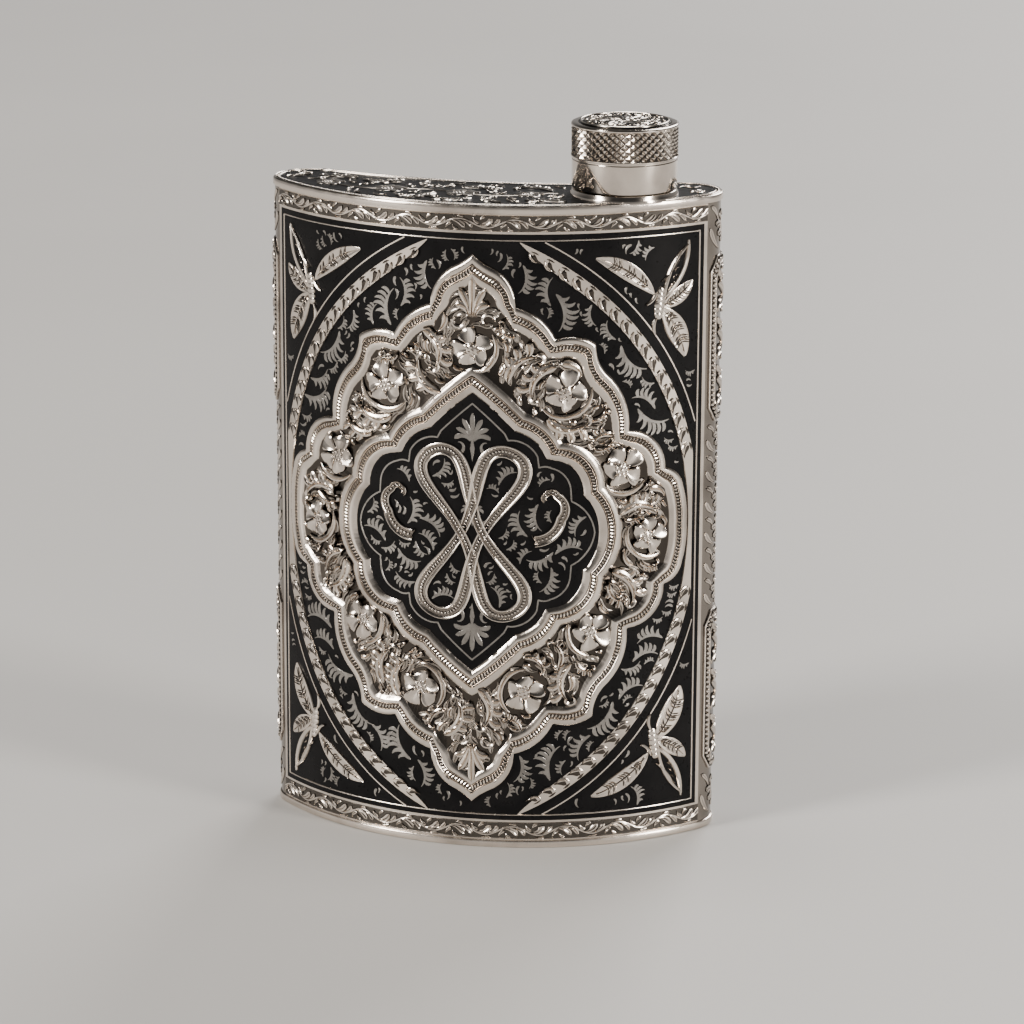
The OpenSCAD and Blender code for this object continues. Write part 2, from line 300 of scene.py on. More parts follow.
def offset(r, d):
    """A contour moved inwards by d, or outwards if d is negative, with true distance."""
    pts = RAYS * r[:, None]
    near = (np.arange(len(r))[:, None] + np.arange(-70, 71)) % len(r)
    best = r - d
    found = np.zeros(len(r), bool)
    for k in np.linspace(0.97, 4.0, 60):
        q = RAYS * (r - d * k)[:, None]
        clear = np.sqrt(((q[:, None] - pts[near]) ** 2).sum(-1)).min(1) >= abs(d) * 0.995
        new = clear & ~found
        best[new] = (r - d * k)[new]
        found |= new
    return best


def inset(r, d):
    """A contour moved inwards by about d, part by true distance and part by scale, which keeps its cusps."""
    return 0.45 * offset(r, d) + 0.55 * r * (1 - d / r.min())


def contour(r):
    """A contour's points about the middle of the front."""
    return RAYS * r[:, None] + [0, MID]


def radius_at(r, pts):
    """The contour's radius in the direction of each point, and the point's own radius."""
    q = np.asarray(pts, float) - [0, MID]
    a = np.arctan2(q[..., 0], q[..., 1]) % TAU
    return np.interp(a, np.append(PHI, TAU), np.append(r, r[0])), np.linalg.norm(q, axis=-1)


# The medallion's contours, from quadrants of arcs. GROUND is the sunk level between its two ropes.
MEDALLION = polar(four_way(chain(
    [(0, 57.4, -0.2), (3.6, 54.8, 1.5), (8.6, 46.8, 1.2), (16.6, 40.3, 1.0), (24.8, 39, -0.6),
     (27, 33, 1.6), (31.9, 20.8, 2.5), (40.1, 12.3, 1.0), (44.4, 8, 0.4), (45.4, 0, 0)])))
INNER = polar(four_way(chain(
    [(0, 31.7, 0.3), (9.7, 23.1, 1.1), (16.3, 17.2, 2.6), (24.5, 8.6, 1.0), (28.1, 0, 0)])))
THREAD_LINE = polar(four_way(chain(
    [(0, 26.8, 0.1), (6.5, 20.8, 0), (7.2, 19.4, 0.15), (9.5, 19.2, 0.5), (13.1, 16.1, 0), (13.4, 13.8, 0.3),
     (15.9, 13.7, 0.9), (19.8, 9.4, 0), (20.0, 6.7, 1.1), (24.8, 0, 0)])))
ROPE_OUTER = inset(MEDALLION, 2.02)
ROPE_INNER = inset(INNER, -0.06)
FIELD_OUT = inset(MEDALLION, 4.0)
FIELD_IN = inset(INNER, -2.2)
HOLE = INNER * 0.915
GROUND = 0.40


# ---- relief: cross-sections are (side, rise) pairs, widths run from a leaf's root to its tip ----

DOME = [(1, 0), (0.6, 0.75), (0, 1), (-0.6, 0.75), (-1, 0)]
LEAF = [(1, 0), (0.72, 0.85), (0.3, 1), (0, 0.5), (-0.3, 1), (-0.72, 0.85), (-1, 0)]
CUP = [(1, 0), (0.9, 0.85), (0.72, 1), (0.45, 0.72), (0, 0.55),
       (-0.45, 0.72), (-0.72, 1), (-0.9, 0.85), (-1, 0)]
INLAY = [(1, 0), (0.85, 1), (-0.85, 1), (-1, 0)]
RIDGE = [(1, 0), (0, 1), (-1, 0)]
# A ribbon's sunk middle, low in rise, takes the painted shade and patina as a dark channel.
RIBBON = [(1, 0), (0.97, 0.85), (0.85, 1.0), (0.68, 0.85), (0.5, 0.25), (0.2, 0.12),
          (-0.2, 0.12), (-0.5, 0.25), (-0.68, 0.85), (-0.85, 1.0), (-0.97, 0.85), (-1, 0)]
# Height of engraved leaves over their ground.
ENGRAVED_H = 0.26


def lens(n, power=0.7):
    """Widths of a leaf that is pointed at both ends."""
    return np.sin(math.pi * np.linspace(0.02, 0.98, n)) ** power


def drop(n):
    """Widths of a leaf with a thin root and a round tip."""
    t = np.linspace(0.02, 0.995, n)
    w = t ** 0.8 * (1 - t ** 5) ** 0.6
    return w / w.max()


def thorn(n):
    """Widths of a leaf with a round root and a thin tip."""
    return drop(n)[::-1]


class Relief:
    """Raised strokes and strips in the unrolled space of one surface, gathered into one mesh."""

    def __init__(self, place):
        self.place = place
        self.points = []
        self.tones = []
        self.faces = {3: [], 4: []}
        self.count = 0

    def add(self, pts, tone):
        """Adds points and gives the index of the first."""
        first = self.count
        self.points.append(pts.reshape(-1, 3))
        self.tones.append(np.broadcast_to(tone, pts.shape[:-1]).reshape(-1))
        self.count += len(self.points[-1])
        return first

    def grid(self, pts, tone, wrap=False):
        """Rows and columns of (u, v, h) points; columns times rows point outwards."""
        rows, cols = pts.shape[:2]
        ids = self.add(pts, tone) + np.arange(rows * cols).reshape(rows, cols)
        if wrap:
            ids = np.concatenate([ids, ids[:, :1]], 1)
        corners = [ids[:-1, :-1], ids[:-1, 1:], ids[1:, 1:], ids[1:, :-1]]
        self.faces[4].append(np.stack(corners, -1).reshape(-1, 4))

    def wall(self, outline, z0, z1):
        """An upright face round a closed outline, from one height to another."""
        self.grid(np.stack([level(outline, z0), level(outline, z1)]), 1.0, wrap=True)

    def flat(self, outline, hole, z, way):
        """A level face between a closed outline and a hole; way is the side it looks to."""
        rings = [outline, hole] if len(hole) else [outline]
        three = np.array(tessellate_polygon([[Vector((x, y, 0)) for x, y in ring] for ring in rings]))
        pts = np.concatenate(rings)
        a, b, c = (pts[three[:, k]] for k in range(3))
        turn = (b[:, 0] - a[:, 0]) * (c[:, 1] - a[:, 1]) - (b[:, 1] - a[:, 1]) * (c[:, 0] - a[:, 0])
        three = np.where((turn * way > 0)[:, None], three, three[:, ::-1])
        self.faces[3].append(three + self.add(level(pts, z), 1.0))

    def rings(self, steps):
        """A closed band through outlines, given outermost first as (points, height, tone)."""
        steps = steps[::-1]
        pts = np.stack([level(outline, h) for outline, h, _ in steps])
        tone = np.array([t for _, _, t in steps])[:, None]
        self.grid(pts, tone + np.zeros(pts.shape[1]), wrap=True)

    def stroke(self, path, width, height, shape=DOME, base=0.0, loop=False, tone=None):
        """A ribbon along path; width, height and base are numbers or one value per point."""
        path = np.asarray(path, float)
        side, rise = np.array(shape, float).T
        width, height, base = (np.broadcast_to(v, len(path))[:, None] for v in (width, height, base))
        left = left_of(headings(path, loop))
        uv = path[:, None] + left[:, None] * (side * width / 2)[..., None]
        h = base + rise * height
        pts = np.concatenate([uv, h[..., None]], -1)
        # By default the tone follows the rise, so each stroke's flanks and feet take the painted shade and
        # patina and its crest stays bright.
        tones = np.broadcast_to(rise if tone is None else tone, h.shape)
        if loop:
            pts = np.concatenate([pts, pts[:1]])
            tones = np.concatenate([tones, tones[:1]])
        self.grid(pts, tones)

    def bump(self, at, r, height, base=0.0, sides=8, rings=3):
        """A round boss."""
        a = np.linspace(0, TAU, sides, endpoint=False)
        t = np.linspace(1, 0, rings + 1)[:, None] * math.pi / 2
        reach = r * np.sin(t) + 1e-4
        rise = base + height * np.cos(t) + 0 * a
        pts = np.stack([at[0] + reach * np.cos(a), at[1] + reach * np.sin(a), rise], -1)
        # The tone falls towards the boss's foot, where painted shade and patina go.
        self.grid(pts, np.cos(t) + 0 * a, wrap=True)

    def mesh(self, name):
        """Everything gathered so far as one mesh, in metres, with its tones."""
        pts = self.place(np.concatenate(self.points)) * MM
        sets = [np.concatenate(f) for f in self.faces.values() if f]
        corners = np.concatenate([f.reshape(-1) for f in sets]).astype(np.int32)
        sizes = np.concatenate([np.full(len(f), f.shape[1]) for f in sets]).astype(np.int32)
        mesh = bpy.data.meshes.new(name)
        mesh.vertices.add(len(pts))
        mesh.vertices.foreach_set("co", pts.reshape(-1))
        mesh.loops.add(len(corners))
        mesh.loops.foreach_set("vertex_index", corners)
        mesh.polygons.add(len(sizes))
        mesh.polygons.foreach_set("loop_start", (np.cumsum(sizes) - sizes).astype(np.int32))
        mesh.polygons.foreach_set("loop_total", sizes)
        mesh.update(calc_edges=True)
        mesh.validate()
        tone = mesh.attributes.new("tone", "FLOAT", "POINT")
        tone.data.foreach_set("value", np.concatenate(self.tones).astype(np.float32))
        return mesh

    def build(self, name, material, body="flask", stands_for=(), sharp=35):
        """Makes the object, smooths it, ties it to its body and hides the CAD nodes it stands for."""
        mesh = self.mesh(name)
        mesh.materials.append(material)
        mesh.shade_smooth()
        mesh.set_sharp_from_angle(angle=math.radians(sharp))
        piece = bpy.data.objects.new(name, mesh)
        bpy.context.scene.collection.objects.link(piece)
        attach(piece, body)
        if stands_for:
            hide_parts(*stands_for)


def level(pts, z):
    """Plan points lifted to a height."""
    return np.concatenate([pts, np.full((len(pts), 1), z)], 1)


def circle(r):
    """Plan points round the neck's axis."""
    return spiral((NECK_X, NECK_Y), r, r, 0, TAU, 97)[:-1]


# ---- materials ----


def new_material(name):
    """A node material, its tree and its main shader."""
    m = bpy.data.materials.new(name)
    m.use_nodes = True
    tree = m.node_tree
    return m, tree, tree.nodes["Principled BSDF"]


def wire(tree, out, socket):
    """Links an output to an input."""
    tree.links.new(out, socket)


def noise(tree, scale, detail=4.0, stretch=(1, 1, 1)):
    """Object-space noise; stretch scales the axes."""
    node = tree.nodes.new("ShaderNodeTexNoise")
    node.inputs["Scale"].default_value = scale
    node.inputs["Detail"].default_value = detail
    place = tree.nodes.new("ShaderNodeTexCoord")
    mapping = tree.nodes.new("ShaderNodeMapping")
    mapping.inputs["Scale"].default_value = stretch
    wire(tree, place.outputs["Object"], mapping.inputs["Vector"])
    wire(tree, mapping.outputs["Vector"], node.inputs["Vector"])
    return node.outputs["Fac"]


def ramp(tree, value, stops):
    """A colour ramp over a value, from (place, colour) stops."""
    node = tree.nodes.new("ShaderNodeValToRGB")
    elements = node.color_ramp.elements
    while len(elements) < len(stops):
        elements.new(0.5)
    for e, (at, colour) in zip(elements, stops):
        e.position = at
        e.color = (*colour, 1)
    wire(tree, value, node.inputs["Fac"])
    return node.outputs["Color"]


def mix(tree, fac, fixed, colour):
    """From a fixed colour to the colour socket, by a factor socket."""
    node = tree.nodes.new("ShaderNodeMix")
    node.data_type = "RGBA"
    factor, first, second = (node.inputs[k] for k in (0, 6, 7))
    wire(tree, fac, factor)
    first.default_value = (*fixed, 1)
    wire(tree, colour, second)
    return node.outputs[2]


def scalar(tree, value, low, high, out_low, out_high):
    """A value mapped from one range to another."""
    node = tree.nodes.new("ShaderNodeMapRange")
    wire(tree, value, node.inputs["Value"])
    for key, number in (("From Min", low), ("From Max", high), ("To Min", out_low), ("To Max", out_high)):
        node.inputs[key].default_value = number
    return node.outputs["Result"]


def bump(tree, shader, value, strength, distance):
    """Fine surface texture on a shader, from a height value."""
    node = tree.nodes.new("ShaderNodeBump")
    node.inputs["Strength"].default_value = strength
    node.inputs["Distance"].default_value = distance
    wire(tree, value, node.inputs["Height"])
    wire(tree, node.outputs["Normal"], shader.inputs["Normal"])


# Base colours: clean and tarnished silver, and the dark painted into the low parts of the relief, which is
# partly patina and partly painted shade.
SILVER = (0.76, 0.685, 0.61)
TARNISH = (0.44, 0.39, 0.345)
PATINA_AND_SHADE = (0.022, 0.020, 0.018)
CHASED_PATINA_AND_SHADE = (0.075, 0.065, 0.056)


def silver(name, rough, patina_and_shade=None, deep=0.55, scratch=0.25):
    """Silver with faint tarnish and scratches; given a dark colour, the low parts of the relief take it as
    patina and painted shade.
    """
    m, tree, shader = new_material(name)
    cloud = noise(tree, 90, 5)
    colour = ramp(tree, cloud, [(0.25, TARNISH), (0.5, SILVER)])
    if patina_and_shade:
        tone = tree.nodes.new("ShaderNodeAttribute")
        tone.attribute_name = "tone"
        # Low tones mix in the dark colour: patina and painted shade in the hollows, creases and flanks of the
        # relief.
        low = scalar(tree, tone.outputs["Fac"], 0.05, deep, 0, 1)
        colour = mix(tree, low, patina_and_shade, colour)
    wire(tree, colour, shader.inputs["Base Color"])
    shader.inputs["Metallic"].default_value = 1.0
    fine = noise(tree, 2600, 3, (1, 1, 0.25))
    wear = scalar(tree, noise(tree, 350, 6), 0.3, 0.7, rough * 0.75, rough * 1.35)
    wire(tree, wear, shader.inputs["Roughness"])
    bump(tree, shader, fine, scratch, 0.00003)
    return m


def niello(name):
    """Black inlay with a satin polish, slightly mottled."""
    m, tree, shader = new_material(name)
    colour = ramp(tree, noise(tree, 160, 6), [(0.3, (0.003, 0.003, 0.0035)), (0.7, (0.008, 0.0075, 0.008))])
    wire(tree, colour, shader.inputs["Base Color"])
    shader.inputs["Metallic"].default_value = 0.0
    shader.inputs["Specular IOR Level"].default_value = 0.1
    wire(tree, scalar(tree, noise(tree, 700, 5), 0.3, 0.7, 0.24, 0.4), shader.inputs["Roughness"])
    bump(tree, shader, noise(tree, 1800, 4), 0.3, 0.00003)
    return m


def simple(name, low, high, metal, rough, grain):
    """A plain turned or moulded material with fine grain."""
    m, tree, shader = new_material(name)
    wire(tree, ramp(tree, noise(tree, grain, 5), [(0.3, low), (0.7, high)]), shader.inputs["Base Color"])
    shader.inputs["Metallic"].default_value = metal
    wear = scalar(tree, noise(tree, grain * 2, 4), 0.3, 0.7, rough * 0.8, rough * 1.2)
    wire(tree, wear, shader.inputs["Roughness"])
    bump(tree, shader, noise(tree, grain * 3, 3), 0.3, 0.00004)
    return m


POLISHED = silver("polished_silver", 0.13, scratch=0.12)
PLAIN = silver("plain_silver", 0.22)
CHASED = silver("chased_silver", 0.17, CHASED_PATINA_AND_SHADE, 0.6)
ENGRAVED = silver("engraved_silver", 0.2, PATINA_AND_SHADE, 0.9)
KNURLED = silver("knurled_silver", 0.16, PATINA_AND_SHADE, 0.4)
INLAID = simple("inlaid_silver", (0.25, 0.235, 0.22), (0.37, 0.35, 0.325), 1.0, 0.3, 500)
NIELLO = niello("niello")
BRASS = simple("turned_brass", (0.5, 0.36, 0.15), (0.72, 0.55, 0.27), 1.0, 0.3, 600)
RUBBER = simple("seal_rubber", (0.02, 0.02, 0.02), (0.05, 0.05, 0.05), 0.0, 0.6, 900)


# ---- motifs ----


def rope(relief, path, base, width=1.1, height=0.34, step=0.7):
    """A corded border: slanting ribs between two thin wires."""
    line = resample(path, step, closed=True)
    for p, t in zip(line, headings(line, True)):
        reach = left_of(t) * width * 0.36 + t * 0.14
        relief.stroke([p - reach, p - reach * 0.6, p + reach * 0.6, p + reach],
                      [0.15, step * 0.7, step * 0.7, 0.15],
                      [height * 0.4, height * 0.9, height * 0.9, height * 0.4], base=base)
    smooth = resample(path, 0.45, closed=True)
    for k in (-1, 1):
        edge = smooth + k * left_of(headings(smooth, True)) * width * 0.52
        relief.stroke(edge, 0.27, height, DOME, base, loop=True)


def beads(relief, path, r, base):
    """A closed row of round beads."""
    for p in resample(path, r * 2.15, True):
        relief.bump(p, r, r * 0.9, base, sides=7, rings=2)


def hatch(relief, at, r, base, height):
    """A flower's heart: a low boss under a square grid of small studs."""
    boss = height * 0.75
    relief.bump(at, r, boss, base, sides=16)
    pitch = r * 0.43
    e = heading(math.radians(20))
    for i in range(-2, 3):
        for j in range(-2, 3):
            x, y = i * pitch, j * pitch
            out = math.hypot(x, y)
            if out > r * 0.9:
                continue
            lift = boss * math.sqrt(max(0.0, 1 - (out / r) ** 2))
            stud = at + x * e + y * left_of(e)
            relief.bump(stud, r * 0.2, height * 0.34, base + lift * 0.92, sides=6, rings=2)


# Petals of a blossom, and a petal's height from its root to its tip.
PETALS = 5
PETAL_RISE = np.array([0.5, 0.7, 0.85, 0.95, 1, 1, 0.95, 0.85, 0.6, 0.12])


def flower(relief, at, r, turn, base, height):
    """A blossom with a cross-cut heart and cupped petals, the longest of them on the side it faces."""
    at = np.asarray(at, float)
    for k in range(PETALS):
        a = TAU * k / PETALS
        e = heading(turn + a)
        reach = r * (0.90 + 0.16 * math.cos(a))
        tip = at + e * reach + left_of(e) * r * 0.1
        path = arc(at + e * r * 0.18, tip, -r * 0.06, 10)
        relief.stroke(path, drop(10) * r * 0.98, height * PETAL_RISE, CUP, base + 0.02 * (k % 2))
    hatch(relief, at - r * 0.06 * heading(turn), r * 0.44, base, height)


def leaf(relief, a, b, sag, width, height, base):
    """A single leaf on an arc, lower at both ends."""
    rise = np.sin(math.pi * np.linspace(0.12, 0.9, 9)) ** 0.4
    relief.stroke(arc(a, b, sag, 9), drop(9) * width, height * rise, LEAF, base)


def sprig(relief, at, e, size, bend, base, height, leaves):
    """A flat curved stem with flame-like leaflets along one side."""
    n = left_of(e) * bend
    stem = arc(at - e * size / 2, at + e * size / 2, bend * size * 0.2, leaves * 2 + 3)
    relief.stroke(stem, thorn(len(stem)) * size * 0.11 + 0.07, height, INLAY, base)
    for k in range(leaves):
        root = stem[1 + 2 * k]
        tall = size * (0.42 - 0.15 * abs(2 * k / (leaves - 1) - 0.8))
        tip = root + n * tall + e * tall * (0.15 + 0.5 * k / leaves)
        width = lens(8, 0.8) * size * 0.66 / leaves + 0.03
        relief.stroke(arc(root, tip, -bend * tall * 0.3, 8), width, height, INLAY, base)


def frond(relief, at, e, size, bend, base, height):
    """A curled acanthus leaf: a long lobe that ends in a volute, with three lobes on its outer side."""
    n = left_of(e) * bend
    spine = arc(at - e * size * 0.5, at + e * size * 0.38, bend * size * 0.2, 12)
    relief.stroke(spine, thorn(12) ** 0.8 * size * 0.27, height, LEAF, base)
    curl = spiral(at + e * size * 0.36 - n * size * 0.1, size * 0.15, size * 0.05, math.atan2(n[1], n[0]),
                  -bend * 4.6, 12)
    relief.stroke(curl, thorn(12) * size * 0.14 + 0.05, height, DOME, base)
    for k in range(3):
        root = spine[2 + 3 * k]
        tip = root + n * size * (0.33 - 0.05 * k) + e * size * (0.18 + 0.03 * k)
        lobe = arc(root, tip, -bend * size * 0.08, 8)
        relief.stroke(lobe, drop(8) * size * 0.25, height * 0.94, LEAF, base + 0.02 * k)


def palmette(relief, at, size, way, base, height):
    """A fan of leaves on a short stem between two curls."""
    u, v = at
    for k in range(-3, 4):
        a = math.radians(90 - k * 25)
        reach = size * (1 - 0.10 * abs(k))
        tip = (u + reach * math.cos(a) * 0.82, v + way * reach * math.sin(a))
        root = (u + k * 0.16, v + way * 0.12 * size)
        relief.stroke(arc(root, tip, way * k * 0.3, 10), drop(10) * size * 0.155, height, INLAY, base)
    for k in (-1, 1):
        middle = (u + k * size * 0.46, v - way * size * 0.02)
        curl = spiral(middle, size * 0.36, size * 0.1, math.pi * (k < 0), -k * way * 4.6, 16)
        relief.stroke(curl, thorn(16) * size * 0.12 + 0.05, height, INLAY, base)
    stem = [(u, v + way * size * k) for k in (0.3, -0.1, -0.5)]
    relief.stroke(stem, [0.1, size * 0.16, 0.08], height, INLAY, base)


# ---- packing ----


class Filler:
    """Packs figures into a region without letting them touch, on a fine raster."""

    CELL = 0.12
    ROUND = np.array([heading(a) for a in np.linspace(0, TAU, 8, endpoint=False)])

    def __init__(self, inside, low, high):
        self.low, self.high = np.array(low, float), np.array(high, float)
        size = np.ceil((self.high - self.low) / self.CELL).astype(int)
        pts = self.centres((0, 0), size - 1)
        self.full = ~inside(pts.reshape(-1, 2)).reshape(size)
        self.full[[0, -1]] = True
        self.full[:, [0, -1]] = True

    def centres(self, first, last):
        """The middles of a block of cells."""
        spans = [np.arange(a, b + 1) for a, b in zip(first, last)]
        grid = np.stack(np.meshgrid(*spans, indexing="ij"), -1)
        return self.low + (grid + 0.5) * self.CELL

    def cells(self, pts):
        """The cell of each point, kept inside the raster."""
        ids = ((pts - self.low) / self.CELL).astype(int)
        return np.clip(ids, 0, np.array(self.full.shape) - 1)

    def block(self, pts, r):
        """Takes up the discs of radius r about the points."""
        pts = np.atleast_2d(np.asarray(pts, float))
        for p, radius in zip(pts, np.broadcast_to(r, len(pts))):
            a, b = self.cells(np.array([p - radius, p + radius]))
            d = np.linalg.norm(self.centres(a, b) - p, axis=-1)
            self.full[a[0]:b[0] + 1, a[1]:b[1] + 1] |= d <= radius

    def free(self, pts, r):
        """True if the discs of radius r about the points are empty, tested at their rims and half way."""
        pts = np.atleast_2d(np.asarray(pts, float))[:, None]
        r = np.broadcast_to(r, len(pts))[:, None, None]
        near = np.concatenate([pts, pts + self.ROUND * r, pts + self.ROUND * r * 0.5], 1)
        ids = self.cells(near.reshape(-1, 2))
        return not self.full[ids[:, 0], ids[:, 1]].any()

    def places(self, tries, direction, size, spots, clear, taken, start=None):
        """Random places where a figure fits, as (place, direction, side it bends to).

        spots are the points it must have free, along and across it in sizes; clear and taken are the
        radii about them, and start is the radius that must be free at the place itself.
        """
        for at in RNG.uniform(self.low, self.high, (tries, 2)):
            if start and not self.free(at, start):
                continue
            e = direction(at) * RNG.choice([-1, 1])
            bend = RNG.choice([-1, 1])
            n = left_of(e) * bend
            pts = np.array([at + e * size * k + n * size * j for k, j in spots])
            if self.free(pts, size * clear):
                self.block(pts, size * taken)
                yield at, e, bend

    def pack(self, tries, length, width, direction, put, bend, gap, widths=drop):
        """Tries curved strokes at random places; put(path, widths) draws each that fits."""
        for at in RNG.uniform(self.low, self.high, (tries, 2)):
            if not self.free(at, 0.02):
                continue
            e = direction(at)
            span = length * RNG.uniform(0.75, 1.15)
            path = arc(at - e * span / 2, at + e * span / 2, bend * span * RNG.choice([-1, 1]), 9)
            w = width * RNG.uniform(0.85, 1.1) * widths(9)
            if self.free(path, w / 2 + gap):
                self.block(path, w / 2)
                put(path, w)


def swirl(centres, lean):
    """A direction field that circles round the nearest centre, alternately left and right."""
    centres = np.asarray(centres, float)

    def direction(at):
        d = at - centres
        k = int(np.argmin((d ** 2).sum(1)))
        e = d[k] / max(np.linalg.norm(d[k]), 1e-6)
        t = left_of(e) * (1 if k % 2 else -1) + e * lean
        return t / np.linalg.norm(t)
    return direction


# Points that a sprig needs free, along and across it in lengths.
SPRIG_SPOTS = [(k, j) for k in (-0.42, -0.2, 0, 0.2, 0.42) for j in (0.1, 0.36)]


def strew(relief, filler, direction, sizes, base, thick=0.05):
    """Sprigs of falling size packed without touching; sizes are (length, leaflets, tries)."""
    for size, leaves, tries in sizes:
        for at, e, bend in filler.places(tries, direction, size, SPRIG_SPOTS, 0.09, 0.125, 0.3):
            sprig(relief, at, e, size, bend, base, thick, leaves)

    def draw(path, w):
        relief.stroke(path, w + 0.02, thick, INLAY, base)
    tries = sizes[0][2]
    filler.pack(tries, 2.0, 0.6, direction, draw, 0.25, 0.22, thorn)
    filler.pack(tries, 1.2, 0.45, direction, draw, 0.25, 0.2, thorn)


# ---- camera, floor and light ----


def camera():
    """The photograph's viewpoint: a long lens a little above and to the right."""
    azimuth, height, roll = (math.radians(a) for a in (10.79, 15.50, 0.167))
    distance = 0.8537
    target = Vector((0, (FRONT_Y - 37.42) * MM, 0.06134))
    level_reach = math.cos(height)
    away = Vector((math.sin(azimuth) * level_reach, -math.cos(azimuth) * level_reach, math.sin(height)))
    data = bpy.data.cameras.new("camera")
    data.sensor_width = 36
    data.lens = 144.9
    data.shift_x = 0.0188
    data.shift_y = 0.0186
    data.clip_start = 0.01
    data.clip_end = 20
    eye = bpy.data.objects.new("camera", data)
    bpy.context.scene.collection.objects.link(eye)
    turn = (-away).to_track_quat("-Z", "Y").to_matrix().to_4x4()
    eye.matrix_world = Matrix.Translation(target + away * distance) @ turn @ Matrix.Rotation(roll, 4, "Z")
    bpy.context.scene.camera = eye


def floor():
    """A pale matt floor, faintly mottled."""
    mesh = bpy.data.meshes.new("floor")
    half = 2.2
    corners = [(-half, -half, 0), (half, -half, 0), (half, half, 0), (-half, half, 0)]
    mesh.from_pydata(corners, [], [(0, 1, 2, 3)])
    sheet = bpy.data.objects.new("floor", mesh)
    bpy.context.scene.collection.objects.link(sheet)
    m, tree, shader = new_material("floor_paint")
    paint = ramp(tree, noise(tree, 3, 3), [(0.3, (0.43, 0.42, 0.41)), (0.7, (0.46, 0.45, 0.44))])
    wire(tree, paint, shader.inputs["Base Color"])
    shader.inputs["Roughness"].default_value = 0.6
    mesh.materials.append(m)


def sky():
    """Light at the horizon and dim above."""
    world = bpy.data.worlds.new("studio")
    world.use_nodes = True
    tree = world.node_tree
    place = tree.nodes.new("ShaderNodeTexCoord")
    axes = tree.nodes.new("ShaderNodeSeparateXYZ")
    wire(tree, place.outputs["Generated"], axes.inputs["Vector"])
    shade = ramp(tree, axes.outputs["Z"], [(0.0, (0.40, 0.39, 0.38)), (0.12, (0.32, 0.315, 0.31)),
                                           (0.4, (0.06, 0.06, 0.06)), (1.0, (0.03, 0.03, 0.03))])
    wire(tree, shade, tree.nodes["Background"].inputs["Color"])
    tree.nodes["Background"].inputs["Strength"].default_value = 0.9
    bpy.context.scene.world = world


def area_light(name, at, width, height, power, colour):
    """A soft box that looks at the middle of the flask."""
    data = bpy.data.lights.new(name, "AREA")
    data.shape = "RECTANGLE"
    data.size = width
    data.size_y = height
    data.energy = power
    data.color = colour
    lamp = bpy.data.objects.new(name, data)
    lamp.location = at
    lamp.rotation_euler = (Vector((0, 0, 0.07)) - Vector(at)).to_track_quat("-Z", "Y").to_euler()
    bpy.context.scene.collection.objects.link(lamp)


def lights():
    """Two tall soft boxes in front, a wide one above and one behind."""
    warm, mild = (1, 0.95, 0.88), (1, 0.97, 0.93)
    area_light("key", (-1.7, -1.5, 1.3), 0.5, 1.6, 78, warm)
    area_light("fill", (2.1, -0.9, 0.9), 0.45, 1.6, 66, warm)
    area_light("crown", (0.0, 0.25, 2.4), 1.54, 0.66, 33, mild)
    area_light("rim", (0.5, 2.2, 1.3), 1.1, 1.1, 50, (1, 0.97, 0.94))


# ---- body ----

# The niello's floor under the front's face, and how far the inlays on the back, top and cap stand out.
NIELLO_BED = -0.35
NIELLO_TOP = 0.02


def slab(place, u, v, h, columns, tone=1.0):
    """A thin closed sheet in a surface's unrolled space; u, v and h are (low, high)."""
    r = Relief(place)
    uu, vv = np.meshgrid(np.linspace(*u, columns), v)
    inner, outer = (np.stack([uu, vv, np.full_like(uu, x)], -1) for x in h)
    r.grid(outer, tone)
    r.grid(inner[::-1], tone)
    r.grid(np.stack([inner[0], outer[0]]), tone)
    r.grid(np.stack([outer[-1], inner[-1]]), tone)
    r.grid(np.stack([outer[:, 0], inner[:, 0]]), tone)
    r.grid(np.stack([inner[:, -1], outer[:, -1]]), tone)
    return r


def plate(name, z0, z1, bore, node):
    """An end plate with rounded edges; its bore, if it has one, lets the neck through."""
    r = Relief(in_space)
    edge, round_edge = 0.3, 0.1
    rim = [(LIP - edge, z0), (LIP - round_edge, z0 + round_edge), (LIP, z0 + edge), (LIP, z1 - edge),
           (LIP - round_edge, z1 - round_edge), (LIP - edge, z1)]
    r.grid(np.stack([level(plan(d), z) for d, z in rim]), 1.0, wrap=True)
    hole = circle(bore) if bore else np.zeros((0, 2))
    r.flat(plan(LIP - edge), hole, z1, 1)
    r.flat(plan(LIP - edge), hole, z0, -1)
    if bore:
        r.wall(hole, z1, z0)
    r.build(name, ENGRAVED, stands_for=[node])


def top_field():
    """The thin dark sheet inlaid in the top plate, round the neck's collar."""
    r = Relief(on_top)
    outline, hole = plan(LIP - 1.6), circle(FLANGE_R - 0.3)
    low, high = -0.05, NIELLO_TOP
    r.flat(outline, hole, high, 1)
    r.flat(outline, hole, low, -1)
    r.wall(outline, low, high)
    r.wall(hole, high, low)
    r.build("top_niello_field", NIELLO)


def borders():
    """The silver round the niello on the front: plain edges, and grounds for the engraved bands darkened with
    patina and painted shade.
    """
    front = Relief(on_front)
    # ground is a low tone that paints patina and shade into the bands' grounds.
    bright, ground = 1.0, 0.15
    levels = [PLATE, *BANDS[0], NICHE_V[0]], [NICHE_V[1], *BANDS[1], TOP - PLATE]
    strips = [(-FRONT_U, FRONT_U, v0, v1, tone) for marks in levels
              for v0, v1, tone in zip(marks, marks[1:], (bright, ground, bright))]
    strips += [(-FRONT_U, -NICHE_U, *NICHE_V, bright), (NICHE_U, FRONT_U, *NICHE_V, bright)]
    for u0, u1, v0, v1, tone in strips:
        uu, vv = np.meshgrid(np.linspace(u0, u1, max(3, int((u1 - u0) / 0.6))), [v0, v1])
        front.grid(np.stack([uu, vv, 0 * uu], -1), tone)
    front.build("front_border", ENGRAVED, stands_for=["front_shell"])


